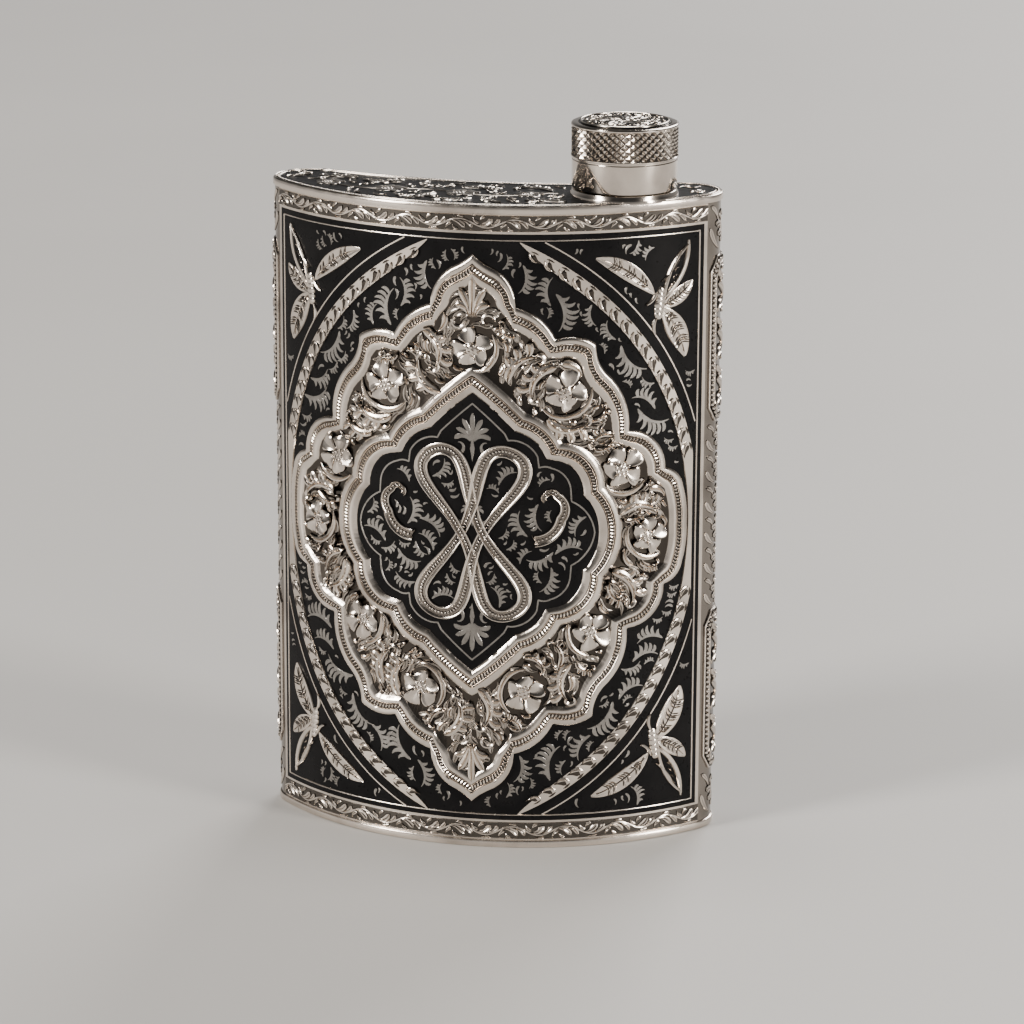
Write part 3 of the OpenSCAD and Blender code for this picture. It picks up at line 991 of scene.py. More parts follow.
def body():
    """The sheet-metal body: front, back, narrow sides, and both end plates."""
    tall = (PLATE, TOP - PLATE)
    front, back = (-FRONT_U, FRONT_U), (-BACK_U, BACK_U)
    slab(on_front, front, tall, (-WALL, NIELLO_BED - 0.01), 161).build("front_sheet", PLAIN)
    borders()
    field_sheet = slab(on_front, (-NICHE_U, NICHE_U), NICHE_V, (NIELLO_BED, -0.02), 161)
    field_sheet.build("niello_field", NIELLO, stands_for=["front_niello"])
    sheet = slab(on_back, back, tall, (-WALL, 0), 121, tone=0.3)
    sheet.build("back_sheet", ENGRAVED, stands_for=["back_shell"])
    field_sheet = slab(on_back, (-BACK_NICHE_U, BACK_NICHE_U), NICHE_V, (-0.2, NIELLO_TOP), 121)
    field_sheet.build("back_niello_field", NIELLO, stands_for=["back_niello"])
    for name, place, way in SIDES:
        sheet = slab(place, side_span(way), tall, (-WALL, 0), 49, tone=0.35)
        sheet.build("narrow_side_" + name, ENGRAVED, stands_for=["side_wall_" + name])
    plate("top_plate_smooth", TOP - PLATE, TOP, NECK_OUT, "top_plate")
    plate("base_plate_smooth", 0.0, PLATE, 0, "base_plate")
    top_field()


def side_span(way):
    """The narrow side's edges along its curve, lowest first."""
    return sorted((SIDE_LOW * way, SIDE_HIGH * way))


def frame_wire(place, name, u, columns, stands_for=()):
    """A thin wire round one face of the body."""
    r = Relief(place)
    low, high = FRAME_V
    corners = [(-u, low), (u, low), (u, high), (-u, high)]
    for a, b in zip(corners, corners[1:] + corners[:1]):
        r.stroke(np.linspace(a, b, columns if a[1] == b[1] else 3), WIRE, 0.14)
    r.build(name, PLAIN, stands_for=stands_for)


# ---- engraved bands ----

# Length of a wave of the running scroll.
SCROLL_WAVE = 11.5
# The leaves of half a wave: root and tip, in quarter waves and band heights, then sag and width.
SCROLL_LEAVES = (
    ((-0.6, 0.16), (0.4, -0.34), 0.16, 0.46), ((-0.5, -0.16), (-0.1, -0.44), -0.08, 0.25),
    ((0.25, 0.14), (0.95, -0.32), 0.12, 0.34), ((-1.0, -0.40), (-0.55, -0.02), 0.08, 0.28),
    ((-0.25, 0.44), (0.35, 0.40), 0.05, 0.2))


def scrolls(relief, half, v0, v1):
    """A running scroll between two levels, with bold leaves and a small bud in each hollow."""
    mid, tall = (v0 + v1) / 2, (v1 - v0)
    count = max(1, int(round(2 * half / SCROLL_WAVE)))
    wave = 2 * half / count
    u = np.linspace(-half, half, count * 24 + 1)
    stem = np.stack([u, mid + 0.3 * tall * np.sin((u + half) / wave * TAU)], -1)
    relief.stroke(stem, 0.55, ENGRAVED_H * 0.8)
    for k in range(count * 2):
        way = -1 if k % 2 else 1
        at = np.array([(k + 0.5) * wave / 2 - half, mid])
        unit = np.array([wave / 4, way * tall])
        for a, b, sag, w in SCROLL_LEAVES:
            path = arc(at + a * unit, at + b * unit, sag * way * tall, 8)
            relief.stroke(path, drop(8) * tall * w, ENGRAVED_H, LEAF)


def bands():
    """Leafy scrolls along the top and the bottom of the front and the back."""
    for name, place, half in (("front", on_front, FRONT_U), ("back", on_back, BACK_U)):
        r = Relief(place)
        edge = Relief(place)
        for v0, v1 in BANDS:
            scrolls(r, half, v0 + 0.15, v1 - 0.15)
            for v in (v0, v1):
                edge.stroke([(u, v) for u in np.linspace(-half, half, 121)], 0.22, 0.1, RIDGE)
        r.build(name + "_band_scrolls", ENGRAVED)
        edge.build(name + "_band_lines", PLAIN)


# ---- front: oval, corners, sprigs ----

# The bowed bands lie between arcs of radii OVAL_R, whose centres are OVAL_C beyond the middle, with a
# thin line at OVAL_LINE. They stand OVAL_H high and taper from OVAL_TAPER above and below the middle.
OVAL_C = 17.0
OVAL_R = (62.7, 65.4)
OVAL_HALF = (OVAL_R[1] - OVAL_R[0]) / 2
OVAL_LINE = OVAL_R[1] + 2.1
OVAL_H = 0.26
OVAL_TAPER = 50
# The slanting cuts and leaves of the band: root and tip (along it, then across it in half widths),
# sag, widths, width, height, cross-section and tone.
OVAL_CUTS = (
    ((-1.5, 0.72), (0.75, -0.5), 0.42, drop(8), 1.1, 0.02, INLAY, 0.0),
    ((-0.75, 0.78), (1.65, -0.18), 0.5, lens(8), 1.0, 0.3, LEAF, None),
    ((-0.3, -0.74), (1.5, -0.62), -0.1, lens(6), 0.5, 0.02, INLAY, 0.0))


def bow(radius, top, n=80):
    """The right arc of the oval, up and down to a height from its middle."""
    a = math.asin(top / radius)
    t = np.linspace(-a, a, n)
    return np.stack([radius * np.cos(t) - OVAL_C, MID + radius * np.sin(t)], -1)


def oval_cuts(strip, m, reach, limit, taper):
    """The cuts along one bowed band, smaller where it tapers."""
    s = resample(bow((OVAL_R[0] + OVAL_R[1]) / 2, reach - 1.5) * [m, 1], 3.4)
    step = headings(s)
    side = left_of(step) * m
    room = (np.abs(s[:, 0]) < limit - OVAL_HALF * 0.8) & (np.abs(s[:, 1] - MID) < 57)
    for p, t, n in zip(s[room], step[room], side[room]):
        shrink = 1 - 0.75 * taper(abs(p[1] - MID))
        for root, tip, sag, widths, w, height, shape, tone in OVAL_CUTS:
            a, b = (p + t * along + n * OVAL_HALF * shrink * across for along, across in (root, tip))
            path = arc(a, b, m * sag, len(widths))
            strip.stroke(path, widths * w * shrink, height, shape, OVAL_H + 0.005, tone=tone)


def oval():
    """Two bowed bands with slanting leaf cuts that taper to the frame, and a thin line outside each."""
    strip, line = Relief(on_front), Relief(on_front)
    reach = FRAME_V[1] - 0.35 - MID
    limit = FRAME_U - 1.0
    dv = np.linspace(-reach, reach, 161)
    inner, outer, thin = (np.sqrt(r ** 2 - dv ** 2) - OVAL_C for r in (*OVAL_R, OVAL_LINE))
    outer = np.minimum(outer, limit)
    taper = np.clip((np.abs(dv) - OVAL_TAPER) / (reach - OVAL_TAPER), 0, 1) ** 2 * 0.97
    inner += (outer - inner) * taper
    lip = 0.1 * (1 - taper)
    upper = slice(len(dv) // 2, None)
    for m in (1, -1):
        cols = [(inner, 0.0), (inner + lip, OVAL_H), (outer - lip, OVAL_H), (outer, 0.0)][::m]
        strip.grid(np.stack([np.stack([u * m, MID + dv, 0 * u + h], -1) for u, h in cols], 1), 0.8)
        oval_cuts(strip, m, reach, limit, lambda d: np.interp(d, np.abs(dv[upper]), taper[upper]))
        path = np.stack([thin * m, MID + dv], -1)
        keep = thin < FRAME_U - 0.5
        for part in (path[keep & (dv > 0)], path[keep & (dv <= 0)]):
            line.stroke(part, 0.3, 0.1, INLAY)
    strip.build("oval_band_chased", CHASED, stands_for=["oval_band"])
    line.build("oval_thin_lines", PLAIN)


# One corner's leaves, from the middle of the face: root, tip, sag, width and vein pairs.
CORNER_LEAVES = [((37.0, 48.3), (24.6, 56.3), -1.1, 3.9, 6), ((38.8, 45.6), (46.0, 50.3), -0.5, 3.6, 4),
                 ((38.6, 45.4), (44.4, 34.8), 0.9, 4.9, 6)]
# The hollow loop leaf's two sides, the curl in it and the node's two spurs: root, tip, sag and width.
CORNER_WIRES = [((37.4, 46.6), (44.9, 58.6), -2.3, 1.3), ((39.3, 46.6), (45.2, 58.0), 1.5, 1.0),
                ((38.6, 50.6), (43.2, 56.4), -0.6, 0.6), ((37.6, 48.8), (35.2, 46.2), 0.5, 0.9),
                ((37.6, 43.4), (37.4, 39.8), -0.5, 0.9)]


def corner_leaves(mu, mv):
    """The middle lines of a corner spray's three leaves, with their widths and vein counts."""
    for a, b, sag, w, n in CORNER_LEAVES:
        ends = [np.array([u * mu, MID + dv * mv]) for u, dv in (a, b)]
        yield arc(*ends, sag * mu * mv, 14), w, n


def veined_leaf(relief, path, width, veins):
    """A broad leaf with a raised midrib and paired veins, each beside a cut drawn as a flat dark strip of
    painted shade and patina.
    """
    widths = lens(14, 0.75)
    relief.stroke(path, widths * width, 0.42 * widths ** 0.5, CUP)
    t = headings(path)
    s = left_of(t)
    relief.stroke(path[1:-1], lens(12) * 0.4, 0.2, RIDGE, 0.26)
    for k in range(veins):
        i = 2 + int(k * 9 / veins)
        for way in (-1, 1):
            tip = path[i] + s[i] * way * width * widths[i] * 0.40 + t[i] * 1.1
            relief.stroke(arc(path[i], tip, 0.14 * way, 6), lens(6) * 0.5, 0.26, RIDGE, 0.26)
            # The cut is a thin flat strip at tone 0: painted shade and patina, not a groove.
            cut = arc(path[i] + t[i] * 0.6, tip + t[i] * 0.5, 0.14 * way, 6)
            relief.stroke(cut, lens(6) * 0.3, 0.02, INLAY, 0.36, tone=0.0)


def corner(relief, mu, mv):
    """One corner's spray: a scaly node, a hollow loop leaf and three chased leaves."""
    def at(u, dv):
        return np.array([u * mu, MID + dv * mv])
    for path, w, veins in corner_leaves(mu, mv):
        veined_leaf(relief, path, w, veins)
    for a, b, sag, w in CORNER_WIRES:
        relief.stroke(arc(at(*a), at(*b), sag * mu * mv, 16), lens(16) ** 0.5 * w, 0.45)
    for k in range(6):
        relief.bump(at(38.1 + 0.12 * k, 43.9 + 1.0 * k), 1.25 - 0.12 * abs(k - 2), 0.5, sides=10)
    for k in range(5):
        a = at(40.9 + 0.42 * k, 49.6 + 1.4 * k)
        relief.stroke(arc(a, a + [1.1 * mu, 0.8 * mv], 0.2, 5), lens(5) * 0.4, 0.2, RIDGE)


def corners():
    """The four corners' sprays, mirrored from one."""
    r = Relief(on_front)
    for mu in (1, -1):
        for mv in (1, -1):
            corner(r, mu, mv)
    r.build("corner_sprays", CHASED, stands_for=["corner_leaves"])


# How far sprigs keep off wires and rims, and the part of a corner that its spray's node and loop take up.
KEEP_OFF = 0.8
LOOP_LOW, LOOP_HIGH = (37, 42), (46.5, 60)
NODE_AT, NODE_R = (37.0, 44.0), 4.0
# Lengths and leaflets of the sprigs on the niello.
SPRIG_SIZES = ((7.6, 6), (5.8, 5), (4.4, 5), (3.2, 4), (2.3, 4))


def front_spandrel(pts):
    """True where a point lies on the niello, clear of every band, leaf and medallion."""
    q = np.asarray(pts, float)
    u, dv = np.abs(q[:, 0]), np.abs(q[:, 1] - MID)
    radius = np.hypot(u + OVAL_C, dv)
    rim, own = radius_at(MEDALLION, q)
    inside = (own > rim + KEEP_OFF) & (radius < OVAL_R[0] - KEEP_OFF / 2)
    outside = radius > OVAL_LINE + 0.6
    spray = (u > LOOP_LOW[0]) & (dv > LOOP_LOW[1]) & (u < LOOP_HIGH[0]) & (dv < LOOP_HIGH[1])
    spray |= np.hypot(u - NODE_AT[0], dv - NODE_AT[1]) < NODE_R
    for path, w, _ in corner_leaves(1, 1):
        near = np.hypot(u[:, None] - path[:, 0], dv[:, None] - (path[:, 1] - MID)).min(1)
        spray |= near < w / 2 + 0.5
    framed = (u < FRAME_U - KEEP_OFF) & (dv < FRAME_V[1] - MID - KEEP_OFF)
    return framed & (inside | (outside & ~spray))


def back_spandrel(pts):
    """True on the back's niello, clear of its medallion and frame."""
    q = np.asarray(pts, float)
    rim, own = radius_at(MEDALLION * BACK_SCALE, q)
    framed = (np.abs(q[:, 0]) < BACK_NICHE_U - 1.8) & (np.abs(q[:, 1] - MID) < FRAME_V[1] - MID - 1.2)
    return (own > rim + 1.2) & framed


def sprigs(place, name, region, half, corner_at, tries):
    """Flat silver sprigs strewn over the niello, turning about the middle and the four corners."""
    r = Relief(place)
    filler = Filler(region, (-half, FRAME_V[0]), (half, FRAME_V[1]))
    u, v = corner_at
    direction = swirl([(0, MID)] + [(m * u, MID + s * v) for s in (1, -1) for m in (1, -1)], 0.15)
    strew(r, filler, direction, [(size, leaves, tries) for size, leaves in SPRIG_SIZES], 0.0)
    r.build(name, INLAID)


# ---- medallion ----

# CAD nodes that the front's and the back's pieces stand for.
FRONT_NODES = {
    "plate": ["medallion_plate"], "outer": ["medallion_rope_outer"], "inner": ["medallion_rope_inner"],
    "flowers": ["medallion_flowers"], "field": ["centre_niello"], "inlay": ["palmettes"],
    "commas": ["side_scrolls"], "right": ["knot_ribbon_upper"], "left": ["knot_ribbon_lower"]}
BACK_NODES = {"plate": ["back_medallion"]}
# Size of the back's medallion against the front's.
BACK_SCALE = 0.62

# Blossoms between the ropes, each with its mirror: place about the middle, and size.
BLOSSOMS = [(0, 38.0, 4.2), (18.4, 29.4, 4.5), (30.3, 13.0, 4.5), (36.0, -1.5, 3.9),
            (24.0, -20.8, 4.2), (10.6, -33.4, 4.2)]
# Level of the channels that the ropes lie in, and of the ropes' roots, a little under it.
CHANNEL = 0.58
ROPE_BASE = 0.56
# The plate's section from each contour inwards: distance, height and tone; tone 0 paints patina and shade
# into the channels and the ground.
OUTER_RIM = ((0.12, 0.42, 0.8), (0.35, 0.72, 1), (0.8, 0.82, 1), (1.3, 0.78, 1), (1.42, CHANNEL, 0.0),
             (2.62, CHANNEL, 0.0), (2.74, 0.92, 1), (3.05, 0.97, 1), (3.5, 0.84, 1), (3.9, 0.55, 0.8),
             (4.1, GROUND, 0.0))
INNER_RIM = ((-2.3, GROUND, 0.0), (-2.05, 0.55, 0.8), (-1.5, 0.86, 1), (-0.9, 0.9, 1), (-0.72, CHANNEL, 0.0),
             (0.6, CHANNEL, 0.0), (0.72, 0.92, 1), (1.0, 0.95, 1), (1.5, 0.74, 1), (2.0, 0.40, 1))
# Half width and half height of the box that holds the ground between the ropes.
FIELD_REACH = (46, 58)
# Lengths and tries of the acanthus, then lengths and widths of the small leaves between it.
ACANTHUS = ((8.8, 6000), (7.0, 9000), (5.4, 9000), (4.2, 9000))
SMALL_LEAVES = ((4.4, 1.8), (3.0, 1.4), (1.9, 1.0))
# Points that an acanthus leaf needs free, along and across it in lengths.
ACANTHUS_SPOTS = ((-0.42, 0.06), (-0.25, 0.16), (0, 0.2), (0.25, 0.16), (0.4, 0.02),
                  (-0.1, 0.36), (0.15, 0.36), (0.36, 0.3), (0.38, -0.12))


def plate_bevels(relief):
    """The medallion's edge, the two roped rims and the sunk ground between them."""
    # Low tones at the plate's foot and round the hole paint patina and shade there.
    steps = [(MEDALLION, 0.0, 0.2)]
    steps += [(inset(MEDALLION, d), h, tone) for d, h, tone in OUTER_RIM]
    steps += [(inset(INNER, d), h, tone) for d, h, tone in INNER_RIM]
    steps += [(HOLE, 0.30, 0.4), (HOLE * 0.995, 0.02, 0.1)]
    relief.rings([(contour(r), h, tone) for r, h, tone in steps])


def medallion(place, prefix, nodes):
    """The lobed medallion on one face: plate, ropes, blossoms and leaves."""
    base = Relief(place)
    plate_bevels(base)
    base.build(prefix + "medallion_plate_chased", CHASED, stands_for=nodes["plate"], sharp=50)
    for name, radii in (("outer", ROPE_OUTER), ("inner", ROPE_INNER)):
        r = Relief(place)
        rope(r, contour(radii), ROPE_BASE)
        r.build(prefix + "rope_" + name, CHASED, stands_for=nodes.get(name, ()))
    flowers = Relief(place)
    u, v = FIELD_REACH
    filler = Filler(field, (-u, MID - v), (u, MID + v))
    spots = [(np.array([u * m, MID + dv]), size, m)
             for u, dv, size in BLOSSOMS for m in ((1, -1) if u else (1,))]
    for at, size, m in spots:
        filler.block([at], size * 0.95)
    for at, size, m in spots:
        turn = math.atan2(at[1] - MID, at[0]) + 0.3 * m
        flower(flowers, at, size, turn, GROUND, 0.92)
        wraps(flowers, filler, at, size, turn, m)
    flowers.build(prefix + "blossoms", CHASED, stands_for=nodes.get("flowers", ()))
    leaves = Relief(place)
    tips(leaves, filler)
    foliage(leaves, filler, spots)
    leaves.build(prefix + "foliage", CHASED)


def field(pts):
    """True between the two ropes of the medallion."""
    outer, own = radius_at(FIELD_OUT, pts)
    inner, _ = radius_at(FIELD_IN, pts)
    return (own < outer) & (own > inner)


def wraps(relief, filler, at, size, turn, m):
    """Two long leaves curling round a blossom."""
    for start, sweep in ((2.4, 1.9), (-1.2, -1.9)):
        path = spiral(at, size * 1.22, size * 1.08, turn + start * m, sweep * m, 16)
        path = path[field(path)]
        if len(path) < 8:
            continue
        w = lens(len(path)) * 1.3 + 0.1
        relief.stroke(path, w, 0.72 * lens(len(path)) ** 0.5, LEAF, GROUND)
        filler.block(path, w / 2)


def tips(relief, filler):
    """Sprays that fill the medallion's upper and lower points."""
    for way in (1, -1):
        root = np.array([0, MID + way * 44.6])
        for k in (-2, -1, 0, 1, 2):
            a = math.radians(90 - 30 * k)
            reach = 8.2 - 1.7 * abs(k)
            tip = root + [math.cos(a) * reach * 0.8, way * math.sin(a) * reach]
            path = arc(root + [0.4 * k, 0], tip, way * k * 0.5, 9)
            relief.stroke(path, drop(9) * 1.9, 0.7, LEAF, GROUND + 0.03 * (k % 2))
            filler.block(path, 0.8)
        for k in (-1, 1):
            curl = spiral(root + [k * 3.0, -way * 0.8], 1.7, 0.5, 0, k * way * 5.0, 16)
            relief.stroke(curl, thorn(16) * 0.9 + 0.1, 0.6, DOME, GROUND)
            filler.block(curl, 0.45)


def carpet(relief, inside, filler, direction, pitch, length, width):
    """Low overlapping leaves that cover the medallion's ground, combed by a direction field; their low tone
    paints patina and shade on them.
    """
    # A third of the usual tone: patina and painted shade on these low leaves.
    patina_and_shade_tone = np.array([s[1] for s in LEAF]) * 0.32
    for u in np.arange(filler.low[0], filler.high[0], pitch):
        for v in np.arange(filler.low[1], filler.high[1], pitch):
            at = np.array([u, v]) + RNG.uniform(-0.35, 0.35, 2) * pitch
            if not inside(at[None])[0]:
                continue
            e = direction(at)
            span = length * RNG.uniform(0.8, 1.15)
            path = arc(at - e * span / 2, at + e * span / 2, span * 0.2 * RNG.choice([-1, 1]), 9)
            if inside(path).all():
                relief.stroke(path, drop(9) * width * RNG.uniform(0.85, 1.1), ENGRAVED_H * drop(9) ** 0.3,
                              LEAF, GROUND + RNG.uniform(0, 0.06), tone=patina_and_shade_tone)


def foliage(relief, filler, spots):
    """A carpet of low leaves, with curled acanthus of falling size over it."""
    centres = np.array([at for at, _, _ in spots])
    sizes = np.array([size for _, size, _ in spots])

    def ground(pts):
        near = np.linalg.norm(pts[:, None] - centres, axis=-1)
        return field(pts) & (near > sizes * 0.95).all(1)
    comb = swirl(centres, 0.3)
    carpet(relief, ground, filler, comb, 1.8, 3.6, 1.5)
    for size, tries in ACANTHUS:
        for at, e, bend in filler.places(tries, comb, size, ACANTHUS_SPOTS, 0.05, 0.115, 0.4):
            frond(relief, at, e, size, bend, GROUND, 0.86)

    def leafy(path, w):
        relief.stroke(path, w, 0.8 * (w / w.max()) ** 0.4, LEAF, GROUND)
    for length, width in SMALL_LEAVES:
        filler.pack(12000, length, width, comb, leafy, 0.22, 0.08)


# ---- centre ----

# Half the length of a loop of the knot, and the level of the dark middle.
LOOP_L = 18.6
CENTRE_TOP = 0.26
# Palmettes over, under and between the loops: height above the middle, size and way they point.
PALMETTES = [(18.2, 6.6, 1), (-18.2, 6.8, -1), (3.4, 4.0, 1)]
# What the centre's sprigs circle round, each with its mirror.
CENTRE_WHORLS = ((20, 3), (6.5, -13), (6.5, 13), (14, 12), (14, -9))


def knot_path(m, n=260):
    """One long loop with a drawn-in waist, leaning to the right for m = 1."""
    t = np.linspace(0, TAU, n, endpoint=False)
    s = np.sin(t)
    x, y = 10 * s * (1 - 0.8 * s * s), LOOP_L * np.cos(t)
    lean = heading(math.radians(26))
    return np.stack([m * (x * lean[0] + y * lean[1]), MID + y * lean[0] - x * lean[1]], -1)


def crossings(a, b):
    """Indices on loop a where loop b crosses it, in order."""
    found = []
    for i in range(len(a)):
        p, q = a[i], a[(i + 1) % len(a)]
        d = q - p
        r, s = b, np.roll(b, -1, 0)
        e = s - r
        den = d[0] * e[:, 1] - d[1] * e[:, 0]
        den = np.where(np.abs(den) < 1e-12, 1e-12, den)
        w = r - p
        t = (w[:, 0] * e[:, 1] - w[:, 1] * e[:, 0]) / den
        u = (w[:, 0] * d[1] - w[:, 1] * d[0]) / den
        if np.any((t >= 0) & (t < 1) & (u >= 0) & (u < 1)):
            found.append(i)
    return found


def comma_path(m):
    """The middle line of the curled ribbon on one side of the knot."""
    keys = [(12.6, -1.4, -1.3), (17.9, 3.2, -1.2), (17.0, 7.9, -0.7), (14.9, 8.3, -0.5), (14.7, 6.9, 0)]
    return resample(chain([(u * m, MID + dv, sag * m) for u, dv, sag in keys], 12), 0.4)


def heart(pts):
    """True inside the thin line round the centre, clear of it."""
    line, own = radius_at(THREAD_LINE, pts)
    return own < line - 0.7


def knot(place, prefix, nodes):
    """Two interlaced beaded ribbons that pass over and under each other in turn."""
    loops = {1: knot_path(1), -1: knot_path(-1)}
    for m, loop in loops.items():
        r = Relief(place)
        n = len(loop)
        wave = np.zeros(n)
        for order, i in enumerate(crossings(loop, loops[-m])):
            gap = np.abs((np.arange(n) - i + n // 2) % n - n // 2) * 110 / n
            sign = 1 if (order + (m < 0)) % 2 else -1
            wave += sign * np.exp(-(gap / 2.2) ** 2)
        base = CENTRE_TOP + 0.17 * np.clip(wave, -1, 1)
        swell = np.abs(loop[:, 1] - MID) / LOOP_L
        width = 1.9 + 1.0 * np.sin(np.clip(swell, 0, 1) * math.pi * 0.75) ** 2
        r.stroke(loop, width, 0.52, RIBBON, base, loop=True)
        for p in resample(loop, 0.68, closed=True):
            i = int(np.argmin(((loop - p) ** 2).sum(1)))
            r.bump(p, 0.12 * width[i], 0.3, base[i] + 0.14, sides=7, rings=2)
        side = "right" if m > 0 else "left"
        r.build(prefix + "knot_ribbon_" + side, CHASED, stands_for=nodes.get(side, ()))


def commas(place, prefix, nodes):
    """A curled, beaded ribbon either side of the knot."""
    r = Relief(place)
    base = 0.3
    for m in (1, -1):
        path = comma_path(m)
        n = len(path)
        w = 2.5 * (1 - 0.62 * np.linspace(0, 1, n) ** 1.6)
        r.stroke(path, w, 0.5, RIBBON, base)
        for i in range(2, n - 3, 2):
            r.bump(path[i], w[i] * 0.11, 0.2, 0.56, sides=6, rings=2)
        spur = arc((12.0 * m, MID - 0.2), (13.4 * m, MID - 2.6), 0.02, 4)
        r.stroke(spur, 0.35, 0.5, DOME, base)
    r.build(prefix + "side_commas", CHASED, stands_for=nodes.get("commas", ()))


def centre(place, prefix, nodes):
    """The dark middle: its niello, the thin contour, palmettes and sprigs, the knot and the commas."""
    ground = Relief(place)
    steps = [(HOLE, 0.0, 1), (HOLE, CENTRE_TOP, 1)]
    steps += [(HOLE * f, CENTRE_TOP + 0.01, 1) for f in (0.8, 0.55, 0.3, 0.08, 0.001)]
    ground.rings([(contour(r), h, tone) for r, h, tone in steps])
    ground.build(prefix + "centre_field", NIELLO, stands_for=nodes.get("field", ()))
    inlay = Relief(place)
    inlay.stroke(contour(THREAD_LINE), 0.34, 0.05, INLAY, CENTRE_TOP, loop=True)
    filler = Filler(heart, (-25, MID - 27), (25, MID + 27))
    for m in (1, -1):
        filler.block(knot_path(m), 1.75)
        filler.block(comma_path(m), 1.5)
    for dv, size, way in PALMETTES:
        palmette(inlay, (0, MID + dv), size, way, CENTRE_TOP, 0.06)
        filler.block([(k * size * 0.4, MID + dv + way * size * 0.35) for k in (-1, 0, 1)], size * 0.55)
    whorls = [(m * u, MID + dv) for u, dv in CENTRE_WHORLS for m in (1, -1)]
    sizes = [(5.6, 5, 4000), (4.6, 5, 4000), (3.6, 4, 4000), (2.6, 4, 4000)]
    strew(inlay, filler, swirl(whorls, 0.2), sizes, CENTRE_TOP)
    inlay.build(prefix + "centre_inlay", INLAID, stands_for=nodes.get("inlay", ()))
    knot(place, prefix, nodes)
    commas(place, prefix, nodes)


def back():
    """The back: a smaller medallion of the same kind on strewn niello, inside a frame wire."""
    place = scaled(on_back, BACK_SCALE)
    medallion(place, "back_", BACK_NODES)
    centre(place, "back_", BACK_NODES)
    sprigs(on_back, "back_sprigs", back_spandrel, BACK_NICHE_U, (34, 55), 2500)
    frame_wire(on_back, "back_frame_wires", BACK_NICHE_U - 0.9, 91)


# ---- narrow sides ----

# Leaves in a vine's axils: root, tip (in half widths and steps), width and sag.
VINE_LEAVES = (((0.66, -0.42), (0.96, 0.02), 1.3, -0.5), ((0.72, 0.18), (0.95, 0.46), 1.1, 0.4),
               ((0.06, 0.10), (0.16, 0.48), 0.9, 0.2))
# Section of a raised panel from its edge inwards: distance, height and tone; the low tones paint patina and
# shade at its foot and on its sunk face.
PANEL_RIM = ((0.0, 0.0, 0.2), (0.05, 0.36, 0.9), (0.25, 0.44, 1.0), (0.4, 0.3, 0.1), (1.5, 0.3, 0.1),
             (1.6, 0.5, 1.0), (1.85, 0.5, 1.0), (2.0, 0.3, 0.1))
# Level of a panel's face.
PANEL_TOP = 0.3
# Leaves round a panel's blossom, each with its mirror: root, tip, sag and width.
PANEL_LEAVES = (((3.0, -3.0), (6.6, 1.6), 1.0, 1.7), ((2.8, 3.0), (6.8, 4.4), -0.8, 1.5),
                ((0.6, 3.9), (3.4, 5.2), 0.4, 1.2), ((3.5, -1.4), (6.9, -4.4), 0.7, 1.4),
                ((0.5, -4.0), (2.8, -4.9), 0.3, 1.0))


def side_ornament():
    """Raised chased panels and engraved sprays on both narrow sides."""
    gap = 0.5
    reach = PANEL_L + gap
    spans = ((PLATE + 0.3, MID - PANEL_Z - reach), (MID - PANEL_Z + reach, MID + PANEL_Z - reach),
             (MID + PANEL_Z + reach, TOP - PLATE - 0.3))
    for side, place, way in SIDES:
        spray = Relief(place)
        s0, s1 = side_span(way)
        for v0, v1 in spans:
            vine(spray, s0 + 0.4, s1 - 0.4, v0, v1)
        spray.build("side_sprays_" + side, ENGRAVED)
        for name, z in (("upper", MID + PANEL_Z), ("lower", MID - PANEL_Z)):
            panel(place, z, "side_panel_chased_%s_%s" % (side, name), "side_panel_%s_%s" % (side, name))


def vine(relief, s0, s1, v0, v1):
    """A tall spray: paired acanthus leaves climb a stem, with leaves in their axils."""
    tall = v1 - v0
    mid, half = (s0 + s1) / 2, (s1 - s0) / 2
    rows = max(1, int(round(tall / 7.0)))
    step = tall / rows
    for k in range(rows):
        v = v0 + (k + 0.5) * step
        for m in (-1, 1):
            e = np.array([m * 0.62, 0.78])
            frond(relief, np.array([mid + m * half * 0.36, v]), e, min(7.2, step), -m, 0.0, ENGRAVED_H)
            for root, tip, w, sag in VINE_LEAVES:
                a, b = ((mid + m * du * half, v + dv * step) for du, dv in (root, tip))
                relief.stroke(arc(a, b, m * sag, 10), drop(10) * w, 0.24, LEAF)
        relief.bump((mid, v - 0.42 * step), 0.6, 0.24)
    relief.stroke([(mid, v0), (mid, (v0 + v1) / 2), (mid, v1)], 0.4, 0.16)


def panel_plate(relief, z):
    """A panel's cushioned plate with cut corners and a bead round its edge."""
    w, l, cut = PANEL_W, PANEL_L, (2, 3)
    ring = [(-w, -l + cut[1]), (-w, l - cut[1]), (-w + cut[0], l), (w - cut[0], l),
            (w, l - cut[1]), (w, -l + cut[1]), (w - cut[0], -l), (-w + cut[0], -l)]
    path = resample(np.array(ring, float), 0.5, closed=True)
    rows = [(path * [(w - d) / w, (l - d) / l], h, tone) for d, h, tone in PANEL_RIM]
    rows += [(rows[-1][0] * f, PANEL_TOP, 0.1) for f in (0.7, 0.4, 0.1, 0.001)]
    relief.rings([(p + [0, z], h, tone) for p, h, tone in rows])
    beads(relief, path * [(w - 0.95) / w, (l - 0.95) / l] + [0, z], 0.48, 0.32)


